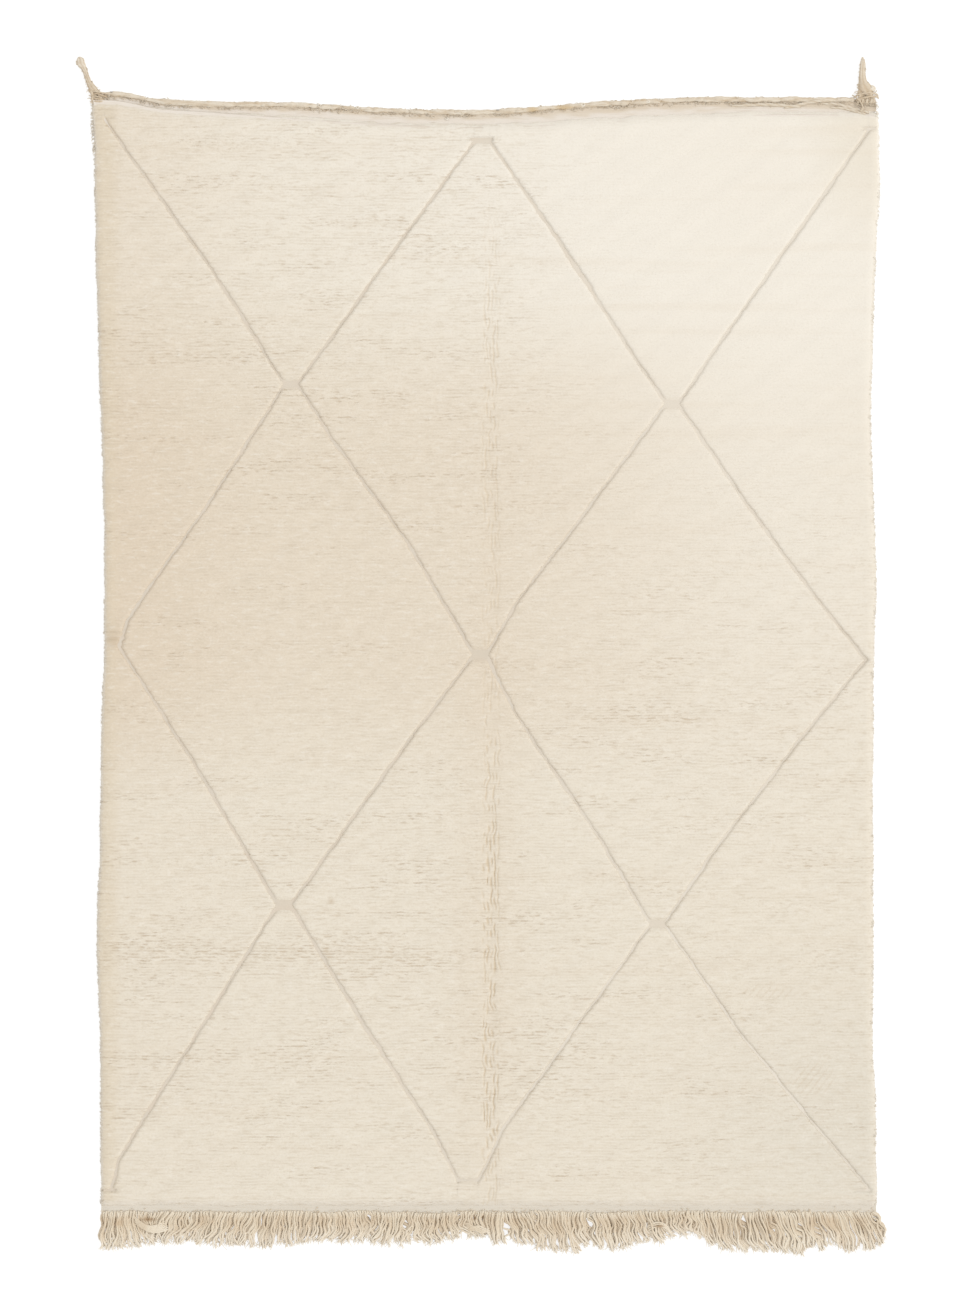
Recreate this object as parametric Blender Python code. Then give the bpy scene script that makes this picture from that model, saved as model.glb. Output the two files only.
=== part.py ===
"""Long cream wool rug with a sunken diamond lattice, lying flat with its fringe towards -Y.

Pieces: the knotted field with its flat-woven ends, the twisted cord along the upper end, a tie
at each upper corner, and the warp fringe with its narrow heading along the lower end.
Metres, +Z up. The origin lies on the floor under the middle of the whole piece.
"""

import functools
import math

import bpy
import numpy as np

# Heights above the floor.
PILE_TOP = 0.0178
GROUND_TOP = 0.0050
GROOVE_FLOOR = 0.0116
RIM_BULGE_HEIGHT = 0.0075
RIM_DROP = 0.0022

# Gap that parts two pieces which touch.
GAP = 0.0003

# The long rims of the field: y, left x, right x.
SIDES = (
    (-1.440, -0.979, 1.024),
    (-1.220, -0.979, 1.022),
    (-1.010, -0.980, 1.015),
    (-0.780, -0.989, 1.015),
    (-0.500, -0.982, 1.015),
    (-0.190, -0.977, 1.015),
    (0.020, -0.971, 1.017),
    (0.220, -0.969, 1.024),
    (0.430, -0.973, 1.014),
    (0.850, -0.987, 1.014),
    (1.050, -0.992, 1.024),
    (1.260, -0.997, 1.032),
    (1.450, -1.006, 1.024),
)

# The bowed upper end: x, outer edge of the cord, upper edge of the pile.
HEAD = (
    (-1.006, 1.4560, 1.4400),
    (-0.950, 1.4600, 1.4400),
    (-0.826, 1.4420, 1.4190),
    (-0.722, 1.4350, 1.4120),
    (-0.516, 1.4340, 1.4010),
    (-0.206, 1.4170, 1.3820),
    (0.050, 1.4150, 1.3780),
    (0.258, 1.4310, 1.3900),
    (0.516, 1.4450, 1.4030),
    (0.722, 1.4460, 1.4095),
    (1.032, 1.4460, 1.4090),
)
HEAD_PILE_MID = 1.3780
HEAD_BOW_FROM = 0.95
HEAD_WALL = 0.003

# The straight lower end.
FOOT_PILE_Y = -1.4180
FOOT_Y = -1.4400
FOOT_WALL = 0.003

# The sunken lattice is four zigzag grooves, each a run of points (x, y) from foot to head.
LATTICE = {
    "outer_left": (
        (-0.950, -1.374),
        (-0.934, -1.298),
        (-0.712, -0.942),
        (-0.523, -0.640),
        (-0.748, -0.258),
        (-0.931, 0.026),
        (-0.911, 0.095),
        (-0.691, 0.413),
        (-0.503, 0.704),
        (-0.697, 1.006),
        (-0.968, 1.386),
    ),
    "inner_left": (
        (-0.057, -1.352),
        (-0.129, -1.210),
        (-0.299, -0.952),
        (-0.489, -0.640),
        (-0.230, -0.279),
        (-0.016, 0.005),
        (-0.147, 0.230),
        (-0.199, 0.312),
        (-0.384, 0.565),
        (-0.469, 0.704),
        (-0.273, 0.980),
        (-0.015, 1.331),
    ),
    "inner_right": (
        (-0.005, -1.352),
        (0.059, -1.220),
        (0.230, -0.980),
        (0.441, -0.689),
        (0.307, -0.467),
        (0.083, -0.134),
        (0.016, 0.005),
        (0.090, 0.134),
        (0.209, 0.289),
        (0.479, 0.653),
        (0.230, 1.032),
        (0.026, 1.331),
    ),
    "outer_right": (
        (1.001, -1.370),
        (0.820, -1.153),
        (0.684, -0.988),
        (0.475, -0.689),
        (0.624, -0.472),
        (0.880, -0.145),
        (0.996, -0.008),
        (0.890, 0.124),
        (0.712, 0.361),
        (0.511, 0.653),
        (0.726, 0.965),
        (1.004, 1.360),
    ),
}
GROOVE_HALF_TOP = 0.0088
GROOVE_HALF_FLOOR = 0.0032
GROOVE_END = 0.008
WOBBLE = ((0.0012, 0.171), (0.0010, 0.097))  # height and length of each wave, metres
BOW_STEP = 0.05

# A pile area between two inner grooves sinks to the groove floor where it gets this narrow.
NARROW = (0.032, 0.046)
LEAST_WIDTH = 0.007

# Soft crease where the rug was folded along its middle: y, depth.
CREASE_X = 0.027
CREASE_HALF = 0.028
CREASE = ((-1.418, 0.0010), (-1.150, 0.0030), (-0.600, 0.0030), (0.300, 0.0014), (1.200, 0.0))

# Lumps of the pile: wave length along x, wave length along y, height.
LUMPS = ((0.310, 0.190, 0.0006), (-0.170, 0.110, 0.0005), (0.093, -0.071, 0.0004))
LUMP_SCATTER = 0.0003
LOCK_REACH = 0.0035
RIM_TUCK = 0.007
RIM_SHOULDER = 0.010

# Columns of points across each of the five pile areas, and the pitch of the rows.
AREA_COLUMNS = (4, 6, 5, 6, 4)
ROW_PITCH = 0.038
CROSSING_ROWS = (-0.689, -0.640, 0.005, 0.653, 0.704)
CROSSING_STEP = 0.011
LEAST_ROW = 0.007

# Twisted cord along the upper end.
CORD_HALF_WIDTH = 0.0060
CORD_HALF_HEIGHT = 0.0046
CORD_TWIST = 0.150
CORD_LOBE = 0.16
CORD_SWELL = 0.15
CORD_STEP = 0.018
CORD_SIDES = 6
CORD_LEFT = -0.9737
CORD_RIGHT = 0.9690

# Corner ties, from the root against the cloth's edge outwards: x, y, half width, height.
LEFT_TIE = (
    (-0.990, 1.4470, 0.0160, 0.0110),
    (-0.993, 1.4610, 0.0155, 0.0130),
    (-0.999, 1.4730, 0.0130, 0.0120),
    (-1.007, 1.4850, 0.0100, 0.0110),
    (-1.016, 1.5030, 0.0070, 0.0095),
    (-1.023, 1.5200, 0.0080, 0.0100),
    (-1.032, 1.5340, 0.0120, 0.0105),
    (-1.033, 1.5450, 0.0100, 0.0090),
    (-1.034, 1.5505, 0.0045, 0.0060),
)
# Section of a tie: share of the half width, share of the height.
TIE_SECTION = ((-0.80, 0.0), (-1.0, 0.45), (-0.55, 0.95), (0.55, 1.0), (1.0, 0.40), (0.80, 0.0))
RIGHT_TIE = (
    (0.9970, 1.4340, 0.0270, 0.0115),
    (0.9970, 1.4550, 0.0275, 0.0140),
    (0.9950, 1.4720, 0.0235, 0.0140),
    (0.9910, 1.4830, 0.0140, 0.0125),
    (0.9880, 1.4980, 0.0105, 0.0110),
    (0.9880, 1.5140, 0.0085, 0.0100),
    (0.9895, 1.5330, 0.0080, 0.0095),
    (0.9895, 1.5505, 0.0025, 0.0050),
)

# Warp fringe.
STRANDS = 200
STRAND_HALF = 0.0034
STRAND_TIP_HALF = 0.0018
STRAND_TIP_HEIGHT = 0.0030
STRAND_STATIONS = (0.5, 1.0)
HEADING_DEPTH = 0.004
HEADING_BLOCK = 8
# Reach of the fringe: x, y of the tips.
FRINGE_TIPS = (
    (-0.979, -1.5300),
    (-0.900, -1.5330),
    (-0.820, -1.5080),
    (-0.500, -1.5150),
    (-0.180, -1.5140),
    (0.000, -1.5050),
    (0.210, -1.5350),
    (0.320, -1.5330),
    (0.430, -1.5080),
    (0.516, -1.4880),
    (0.620, -1.5100),
    (0.730, -1.5430),
    (0.830, -1.5500),
    (0.930, -1.5300),
    (1.024, -1.5300),
)
# Sideways sway of the clumps: wave length, reach, start.
SWAY = ((0.230, 0.0085, 0.6), (0.117, 0.0050, 2.1), (0.071, 0.0022, 4.4))
CORNER_LEAN = 0.016
CORNER_LEAN_FROM = 0.90
LENGTH_SCATTER = 0.010

# Colours, linear.
CREAM_WOOL = (0.815, 0.735, 0.595, 1.0)
TAN_WOOL = (0.700, 0.560, 0.400, 1.0)
WARP_WOOL = (0.740, 0.600, 0.430, 1.0)
WOOL_ROUGHNESS = 0.95


def clear_scene():
    for thing in list(bpy.data.objects):
        bpy.data.objects.remove(thing, do_unlink=True)


def wool(name, colour):
    material = bpy.data.materials.new(name)
    material.use_nodes = True
    shader = material.node_tree.nodes["Principled BSDF"]
    shader.inputs["Base Color"].default_value = colour
    shader.inputs["Roughness"].default_value = WOOL_ROUGHNESS
    shader.inputs["Metallic"].default_value = 0.0
    return material


def add_piece(name, points, faces, material):
    mesh = bpy.data.meshes.new(name)
    mesh.from_pydata([tuple(map(float, p)) for p in points], [], faces)
    mesh.validate()
    mesh.shade_smooth()
    mesh.set_sharp_from_angle(angle=math.radians(35))
    mesh.materials.append(material)
    piece = bpy.data.objects.new(name, mesh)
    bpy.context.scene.collection.objects.link(piece)
    return piece


def smoothstep(low, high, value):
    t = np.clip((value - low) / (high - low), 0.0, 1.0)
    return t * t * (3.0 - 2.0 * t)


def through(table, column, at):
    """Cubic curve through a table's column, with its slopes from the neighbouring rows."""
    knots = np.array([row[0] for row in table])
    values = np.array([row[column] for row in table])
    slopes = np.gradient(values, knots)
    at = np.clip(at, knots[0], knots[-1])
    i = np.clip(np.searchsorted(knots, at) - 1, 0, len(knots) - 2)
    span = knots[i + 1] - knots[i]
    t = (at - knots[i]) / span
    start = (1 + 2 * t) * (1 - t) ** 2 * values[i] + t * (1 - t) ** 2 * span * slopes[i]
    end = t * t * (3 - 2 * t) * values[i + 1] + t * t * (t - 1) * span * slopes[i + 1]
    return start + end


def head_cord_y(x):
    return through(HEAD, 1, x)


def head_pile_y(x):
    return through(HEAD, 2, x)


def head_cloth_y(x):
    """The cloth ends just under the cord."""
    return head_cord_y(x) - 2 * CORD_HALF_WIDTH - GAP


def place_y(x, row):
    """A row is straight across the rug, and bows with the upper end as it nears it."""
    bow = head_pile_y(x) - HEAD_PILE_MID
    return row + bow * smoothstep(HEAD_BOW_FROM, HEAD_PILE_MID, row)


def row_through(x, y):
    """The row that passes through a place, found by halving the span that it lies in."""
    low, high = y - 0.08, y
    for _ in range(20):
        middle = 0.5 * (low + high)
        if place_y(x, middle) < y:
            low = middle
        else:
            high = middle
    return 0.5 * (low + high)


@functools.lru_cache(maxsize=None)
def groove_run(name):
    """The groove's places as rows and x, with more of them where the rows bow."""
    run = LATTICE[name]
    added = np.arange(HEAD_BOW_FROM, run[-1][1], BOW_STEP)
    ys = np.sort(np.concatenate([[y for _, y in run], added]))
    xs = np.interp(ys, [y for _, y in run], [x for x, _ in run])
    return np.array([row_through(x, y) for x, y in zip(xs, ys)]), xs


def groove_x(name, row):
    """Straight between the run's points, with a slow hand-knotted wobble."""
    rows, xs = groove_run(name)
    phase = len(name) + LATTICE[name][0][0]
    x = np.interp(row, rows, xs)
    for number, (height, length) in enumerate(WOBBLE):
        x = x + height * math.sin(2 * math.pi * row / length + phase * (number + 1))
    return float(x)


def groove_depth(name, row):
    """1 where the groove is open and 0 past its ends."""
    rows, _ = groove_run(name)
    opened = smoothstep(rows[0] - GROOVE_END, rows[0], row)
    closed = smoothstep(rows[-1], rows[-1] + GROOVE_END, row)
    return float(opened * (1.0 - closed))


def lump(x, y):
    """Low uneven swell of the pile: a sum of slanted waves."""
    height = 0.0
    for number, (along_x, along_y, reach) in enumerate(LUMPS):
        height += reach * math.sin(2 * math.pi * (x / along_x + y / along_y) + number)
    return height


def field_rows():
    """Rows from foot to head, closer together at the lattice's crossings and ends."""
    count = round((HEAD_PILE_MID - FOOT_PILE_Y) / ROW_PITCH)
    even = list(np.linspace(FOOT_PILE_Y, HEAD_PILE_MID, count + 1))
    marks = [row + side * CROSSING_STEP for row in CROSSING_ROWS for side in (-1, 0, 1)]
    rows, _ = groove_run("inner_left")
    low, high = float(rows[0]), float(rows[-1])
    marks += [low - GROOVE_END, low, high, high + GROOVE_END]
    kept = [row for row in even[1:-1] if min(abs(row - mark) for mark in marks) > LEAST_ROW]
    return [even[0]] + sorted(kept + marks) + [even[-1]]


def pile_columns(low, high, area):
    """Even columns across one pile area, but three about the crease in the middle area."""
    if area == len(AREA_COLUMNS) // 2:
        quarter = 0.25 * (high - low)
        crease = min(max(CREASE_X, low + quarter), high - quarter)
        reach = min(CREASE_HALF, 0.7 * min(crease - low, high - crease))
        return [low, crease - reach, crease, crease + reach, high]
    return list(np.linspace(low, high, AREA_COLUMNS[area]))


def field_profile(row, scatter):
    """(x, z) of one row of the field, from its left foot over the pile to its right foot."""
    left, right = (float(through(SIDES, column, row)) for column in (1, 2))
    left += scatter.uniform(-LOCK_REACH, LOCK_REACH)
    right += scatter.uniform(-LOCK_REACH, LOCK_REACH)
    names = list(LATTICE)
    grooves = [groove_x(name, row) for name in names]
    depths = [groove_depth(name, row) for name in names]
    lows = [left + RIM_SHOULDER] + [x + GROOVE_HALF_TOP for x in grooves]
    highs = [x - GROOVE_HALF_TOP for x in grooves] + [right - RIM_SHOULDER]
    crease = float(through(CREASE, 1, row))
    profile = [(left + RIM_TUCK, 0.0), (left, RIM_BULGE_HEIGHT)]
    last = len(lows) - 1
    for area, (low, high) in enumerate(zip(lows, highs)):
        width = high - low
        if width < LEAST_WIDTH:
            centre = 0.5 * (low + high)
            low, high = centre - 0.5 * LEAST_WIDTH, centre + 0.5 * LEAST_WIDTH
        inner = 0 < area < last
        sunk = depths[area - 1] * depths[area] if inner else 0.0
        sunk *= 1.0 - float(smoothstep(*NARROW, width))
        columns = pile_columns(low, high, area)
        for number, x in enumerate(columns):
            z = PILE_TOP + lump(x, row) + scatter.uniform(-LUMP_SCATTER, LUMP_SCATTER)
            if area == last // 2 and number == 2:
                z -= crease
            if (area == 0 and number == 0) or (area == last and number == len(columns) - 1):
                z -= RIM_DROP
            profile.append((x, z + sunk * (GROOVE_FLOOR - z)))
        if area < last:
            depth = depths[area]
            floor = PILE_TOP + depth * (GROOVE_FLOOR - PILE_TOP)
            profile.append((grooves[area] - GROOVE_HALF_FLOOR, floor))
            profile.append((grooves[area] + GROOVE_HALF_FLOOR, floor))
    profile += [(right, RIM_BULGE_HEIGHT), (right - RIM_TUCK, 0.0)]
    return profile


def band_profile(profile, row):
    """The flat-woven end under the same columns: low, with upright rims."""
    left, right = (float(through(SIDES, column, row)) for column in (1, 2))
    rim = 0.5 * GROUND_TOP
    flat = [(x, GROUND_TOP) for x, _ in profile[2:-2]]
    return [(left, 0.0), (left, rim)] + flat + [(right, rim), (right, 0.0)]


def make_field(material):
    """Knotted field: rows of profiles joined into a skin, closed by its ends and flat underside.

    Gives back the points (x, y) of its upper edge, which the cord lies against.
    """
    scatter = np.random.default_rng(11)
    rows = field_rows()
    profiles = [field_profile(row, scatter) for row in rows]
    grid = []
    for row, profile in zip(rows, profiles):
        grid.append([(x, float(place_y(x, row)), z) for x, z in profile])
    foot, head = profiles[0], profiles[-1]
    for end_y in (FOOT_PILE_Y - FOOT_WALL, FOOT_Y):
        grid.insert(0, [(x, end_y, z) for x, z in band_profile(foot, end_y)])
    for edge, lift in ((head_pile_y, HEAD_WALL), (head_cloth_y, 0.0)):
        band = band_profile(head, HEAD[0][1])
        grid.append([(x, float(edge(x)) + lift, z) for x, z in band])
    points = [point for line in grid for point in line]
    wide, last = len(grid[0]), len(grid) - 1

    def at(line, column):
        return line * wide + column

    faces = [
        (at(i, j), at(i, j + 1), at(i + 1, j + 1), at(i + 1, j))
        for i in range(last)
        for j in range(wide - 1)
    ]
    feet = {}
    for line in (0, last):
        for column in range(2, wide - 2):
            x, y, _ = grid[line][column]
            feet[line, column] = len(points)
            points.append((x, y, 0.0))
    for line in (0, last):
        wall = [
            (feet[line, j], feet[line, j + 1], at(line, j + 1), at(line, j))
            for j in range(2, wide - 3)
        ]
        wall.append((at(line, 0), feet[line, 2], at(line, 2), at(line, 1)))
        rim = (at(line, wide - 1), at(line, wide - 2), at(line, wide - 3))
        wall.append((feet[line, wide - 3],) + rim)
        faces += wall if line == 0 else [face[::-1] for face in wall]
    underside = [at(i, 0) for i in range(last + 1)]
    underside += [feet[last, j] for j in range(2, wide - 2)]
    underside += [at(i, wide - 1) for i in range(last, -1, -1)]
    underside += [feet[0, j] for j in range(wide - 3, 1, -1)]
    faces.append(tuple(underside))
    add_piece("rug_field", points, faces, material)
    return [(x, y) for x, y, _ in grid[last]]


def loft(name, rings, material):
    """Closed skin over a list of rings with the same number of points."""
    sides = len(rings[0])
    points = [point for ring in rings for point in ring]
    faces = []
    for i in range(len(rings) - 1):
        for j in range(sides):
            k = (j + 1) % sides
            faces.append((i * sides + j, i * sides + k, (i + 1) * sides + k, (i + 1) * sides + j))
    faces.append(tuple(range(sides - 1, -1, -1)))
    faces.append(tuple((len(rings) - 1) * sides + j for j in range(sides)))
    return add_piece(name, points, faces, material)


def make_top_cord(cloth_edge, material):
    """Two-ply cord: an oval section that turns as it follows the upper end of the cloth."""
    edge_x, edge_y = zip(*cloth_edge)
    count = round((CORD_RIGHT - CORD_LEFT) / CORD_STEP)
    rings = []
    for x in np.linspace(CORD_LEFT, CORD_RIGHT, count + 1):
        turn = 2 * math.pi * x / CORD_TWIST
        middle = float(np.interp(x, edge_x, edge_y)) + 1.5 * GAP + CORD_HALF_WIDTH
        swell = 1.0 + CORD_SWELL * math.cos(2 * turn)
        ring = []
        for side in range(CORD_SIDES):
            angle = 2 * math.pi * (side + 0.5) / CORD_SIDES
            lobe = 1.0 - CORD_LOBE + CORD_LOBE * math.cos(2 * (angle - turn))
            across = CORD_HALF_WIDTH * lobe * math.cos(angle)
            up = CORD_HALF_HEIGHT * swell * math.sin(angle)
            ring.append((x, middle + across, up))
        lowest = min(z for _, _, z in ring)
        rings.append([(px, py, pz - lowest) for px, py, pz in ring])
    return loft("top_cord", rings, material)


def make_tie(name, table, cloth_edge, material):
    """Tapered warp bundle with a flat underside, rooted against the cloth's upper edge."""
    edge_x, edge_y = zip(*cloth_edge)
    rings = []
    for x, y, half, height in table:
        rings.append([(x + half * across, y, height * up) for across, up in TIE_SECTION])
    rings[0] = [(x, float(np.interp(x, edge_x, edge_y)) + GAP, z) for x, _, z in rings[0]]
    return loft(name, rings, material)


def sway(x):
    """How far the tip of a strand that hangs at x lies to one side."""
    reach = CORNER_LEAN * float(smoothstep(CORNER_LEAN_FROM, SIDES[0][2], x))
    for length, height, start in SWAY:
        reach += height * math.sin(2 * math.pi * x / length + start)
    return reach


def strand_rings(x, tip_y, root_y):
    """Four-sided strand from its root on the heading, level on the floor."""
    rings = []
    lean = sway(x)
    for t in (0.0,) + STRAND_STATIONS:
        half = STRAND_HALF + t * (STRAND_TIP_HALF - STRAND_HALF)
        top = GROUND_TOP + t * (STRAND_TIP_HEIGHT - GROUND_TOP)
        centre, y = x + lean * t * t, root_y + t * (tip_y - root_y)
        low, high = centre - half, centre + half
        rings.append([(low, y, 0.0), (high, y, 0.0), (high, y, top), (low, y, top)])
    return rings


def make_fringe(material):
    """Heading bar just below the cloth, with every strand grown out of its front."""
    scatter = np.random.default_rng(5)
    back_y = FOOT_Y - GAP
    root_y = back_y - HEADING_DEPTH
    left, right = SIDES[0][1], SIDES[0][2]
    pitch = (right - left) / STRANDS
    points, faces, front = [], [], [[], []]

    def add(point):
        points.append(point)
        return len(points) - 1

    for side, z in enumerate((0.0, GROUND_TOP)):
        front[side].append(add((left, root_y, z)))
    for number in range(STRANDS):
        x = left + (number + 0.5) * pitch
        tip_y = float(through(FRINGE_TIPS, 1, x)) + scatter.uniform(0.0, LENGTH_SCATTER)
        rings = [[add(p) for p in ring] for ring in strand_rings(x, tip_y, root_y)]
        for near, far in zip(rings, rings[1:]):
            for j in range(4):
                k = (j + 1) % 4
                faces.append((near[j], near[k], far[k], far[j]))
        faces.append(tuple(rings[-1]))
        low_left, low_right, high_right, high_left = rings[0]
        faces.append((front[0][-1], low_left, high_left, front[1][-1]))
        front[0] += [low_left, low_right]
        front[1] += [high_left, high_right]
    for side, z in enumerate((0.0, GROUND_TOP)):
        front[side].append(add((right, root_y, z)))
    faces.append((front[0][-2], front[0][-1], front[1][-1], front[1][-2]))

    starts = list(range(0, len(front[0]) - 1, 2 * HEADING_BLOCK)) + [len(front[0]) - 1]
    backs = []
    for start in starts:
        x = points[front[0][start]][0]
        backs.append((add((x, back_y, 0.0)), add((x, back_y, GROUND_TOP))))
    for (first, last), near, far in zip(zip(starts, starts[1:]), backs, backs[1:]):
        for i in range(first, last):
            faces.append((near[1], front[1][i], front[1][i + 1]))
            faces.append((near[0], front[0][i + 1], front[0][i]))
        faces.append((near[1], front[1][last], far[1]))
        faces.append((near[0], far[0], front[0][last]))
        faces.append((near[0], near[1], far[1], far[0]))
    faces.append((front[0][0], front[1][0], backs[0][1], backs[0][0]))
    faces.append((front[0][-1], backs[-1][0], backs[-1][1], front[1][-1]))
    return add_piece("fringe", points, faces, material)


def main():
    clear_scene()
    cream = wool("cream_wool", CREAM_WOOL)
    tan = wool("tan_wool", TAN_WOOL)
    warp = wool("warp_wool", WARP_WOOL)
    cloth_edge = make_field(cream)
    make_top_cord(cloth_edge, tan)
    make_tie("left_tie", LEFT_TIE, cloth_edge, warp)
    make_tie("right_tie", RIGHT_TIE, cloth_edge, warp)
    make_fringe(warp)


main()
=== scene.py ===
"""Looks of a long cream wool rug with a sunken diamond lattice, lying flat.

The cloth is a flat-woven ground that shows in the grooves and at both ends. Five areas of
clipped pile stand on it between four zigzag grooves. Locks of wool soften the long rims, a
two-ply cord and two corner ties close the upper end, and plied warp ends hang from the lower.
Metres, +Z up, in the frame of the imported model.
"""

import math

import bpy
import numpy as np
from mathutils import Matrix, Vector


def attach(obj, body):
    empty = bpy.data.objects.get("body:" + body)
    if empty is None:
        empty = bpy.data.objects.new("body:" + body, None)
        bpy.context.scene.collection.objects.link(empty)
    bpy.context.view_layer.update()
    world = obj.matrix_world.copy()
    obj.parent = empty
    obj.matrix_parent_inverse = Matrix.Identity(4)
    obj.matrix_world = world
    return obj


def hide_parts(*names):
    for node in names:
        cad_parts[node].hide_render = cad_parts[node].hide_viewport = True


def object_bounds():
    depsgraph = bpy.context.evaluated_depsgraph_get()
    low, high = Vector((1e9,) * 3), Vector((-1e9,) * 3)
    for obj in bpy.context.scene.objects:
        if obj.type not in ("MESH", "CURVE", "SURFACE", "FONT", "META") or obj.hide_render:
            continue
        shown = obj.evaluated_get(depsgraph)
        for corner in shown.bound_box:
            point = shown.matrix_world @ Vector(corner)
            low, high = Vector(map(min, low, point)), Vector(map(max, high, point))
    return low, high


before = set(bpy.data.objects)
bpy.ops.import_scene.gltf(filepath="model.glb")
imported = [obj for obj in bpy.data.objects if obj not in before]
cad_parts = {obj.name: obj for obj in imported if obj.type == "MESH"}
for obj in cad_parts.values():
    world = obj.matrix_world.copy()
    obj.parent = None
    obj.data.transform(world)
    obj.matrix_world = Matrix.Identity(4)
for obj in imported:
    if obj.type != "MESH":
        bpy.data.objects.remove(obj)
cad_low, cad_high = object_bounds()

# ---------------------------------------------------------------- sizes, in metres

# Heights above the floor.
PILE_TOP = 0.0178
FIELD_GROUND = 0.0131
BAND_GROUND = 0.0050
PILE_ROOT = 0.0022
RIM_ROOT = 0.0003
SUNK_TOP = 0.0119
GAP = 0.0003

# The long rims of the field: y, left x, right x.
SIDES = (
    (-1.440, -0.979, 1.024), (-1.220, -0.979, 1.022), (-1.010, -0.980, 1.015),
    (-0.780, -0.989, 1.015), (-0.500, -0.982, 1.015), (-0.190, -0.977, 1.015),
    (0.020, -0.971, 1.017), (0.220, -0.969, 1.024), (0.430, -0.973, 1.014),
    (0.850, -0.987, 1.014), (1.050, -0.992, 1.024), (1.260, -0.997, 1.032),
    (1.450, -1.006, 1.024),
)

# The bowed upper end: x, outer edge of the cord, upper edge of the pile.
HEAD = (
    (-1.006, 1.4560, 1.4400), (-0.950, 1.4600, 1.4400), (-0.826, 1.4420, 1.4190),
    (-0.722, 1.4350, 1.4120), (-0.516, 1.4340, 1.4010), (-0.206, 1.4170, 1.3820),
    (0.050, 1.4150, 1.3780), (0.258, 1.4310, 1.3900), (0.516, 1.4450, 1.4030),
    (0.722, 1.4460, 1.4095), (1.032, 1.4460, 1.4090),
)
HEAD_PILE_MID = 1.3780
HEAD_BOW_FROM = 0.95
FOOT_PILE_Y = -1.4180
FOOT_Y = -1.4400

# The sunken lattice is four zigzag grooves, each a run of points (x, y) from foot to head.
LATTICE = {
    "outer_left": (
        (-0.950, -1.374), (-0.934, -1.298), (-0.712, -0.942), (-0.523, -0.640),
        (-0.748, -0.258), (-0.931, 0.026), (-0.911, 0.095), (-0.691, 0.413),
        (-0.503, 0.704), (-0.697, 1.006), (-0.968, 1.386),
    ),
    "inner_left": (
        (-0.057, -1.352), (-0.129, -1.210), (-0.299, -0.952), (-0.489, -0.640),
        (-0.230, -0.279), (-0.016, 0.005), (-0.147, 0.230), (-0.199, 0.312),
        (-0.384, 0.565), (-0.469, 0.704), (-0.273, 0.980), (-0.015, 1.331),
    ),
    "inner_right": (
        (-0.005, -1.352), (0.059, -1.220), (0.230, -0.980), (0.441, -0.689),
        (0.307, -0.467), (0.083, -0.134), (0.016, 0.005), (0.090, 0.134),
        (0.209, 0.289), (0.479, 0.653), (0.230, 1.032), (0.026, 1.331),
    ),
    "outer_right": (
        (1.001, -1.370), (0.820, -1.153), (0.684, -0.988), (0.475, -0.689),
        (0.624, -0.472), (0.880, -0.145), (0.996, -0.008), (0.890, 0.124),
        (0.712, 0.361), (0.511, 0.653), (0.726, 0.965), (1.004, 1.360),
    ),
}
GROOVE_END = 0.008
BOW_STEP = 0.05
WOBBLE = ((0.0012, 0.110), (0.0017, 0.037))  # reach and cell of each wander
GROOVE_HALF = 0.0027
GROOVE_WANDER = 0.0010
# Where a groove was clipped wider: groove, y, reach along it, added half width.
WIDE_STRETCHES = (
    ("inner_left", -0.960, 0.100, 0.0022),
    ("inner_right", 1.000, 0.090, 0.0022),
    ("outer_right", 1.150, 0.120, 0.0012),
)
# Pile between two grooves is sunk up to the first width, and full from the second.
NARROW = (0.039, 0.053)
LEAST_WIDTH = 0.006
# How far two areas lap past the end of the groove between them.
SEAM_LAP = 0.0004

# Level cuts that join two grooves or end one: from x, to x, y, half height, depth.
CUTS = (
    (-0.060, -0.004, -1.3510, 0.0042, 0.0076),
    (-0.026, 0.034, 1.3370, 0.0042, 0.0076),
    (-0.990, -0.938, 1.3930, 0.0046, 0.0044),
    (-0.990, -0.945, 1.4120, 0.0032, 0.0024),
    (0.986, 1.040, 1.3640, 0.0048, 0.0064),
    (-0.985, -0.938, -1.3760, 0.0044, 0.0056),
    (0.962, 1.010, -1.3770, 0.0044, 0.0050),
    (-0.970, -0.914, 0.0660, 0.0032, 0.0032),
    (-0.970, -0.914, 0.0480, 0.0032, 0.0036),
    (-0.970, -0.918, 0.0320, 0.0032, 0.0030),
    (-0.216, -0.207, 1.3500, 0.0230, 0.0018),
)

# Rows of knots, and the columns of the pile's grid.
KNOT_PITCH = 0.0077
SAMPLES_A_ROW = 2
STEP_SHARE = 0.75
RAGGED = 0.0017
COLUMN_PITCH = 0.0120
COLUMN_CLEAR = 0.0005
CREASE_PITCH = 0.0020

# Section of a pile edge at a groove: inset from the edge, share of the height.
GROOVE_EDGE = (
    (0.0000, 0.00), (0.0004, 0.66), (0.0016, 0.75), (0.0034, 0.87),
    (0.0056, 0.95), (0.0085, 1.00),
)
# The same at the upper and lower end of the pile.
END_EDGE = (
    (0.0000, 0.00), (0.0006, 0.18), (0.0040, 0.34), (0.0090, 0.57),
    (0.0150, 0.80), (0.0240, 1.00),
)
END_FADE = 0.030
END_RAGGED = 0.0022
# Section of the rug's long rims, and how pale they are.
RIM_EDGE = (
    (0.0120, 0.05), (0.0050, 0.00), (0.0010, 0.17), (0.0000, 0.38),
    (0.0012, 0.60), (0.0045, 0.80), (0.0100, 0.92), (0.0190, 1.00),
)
RIM_PALENESS = 0.9
RIM_FADE = (0.001, 0.012)
RIM_WAVE = 0.0016
RIM_KNOTS = 0.0009

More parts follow.
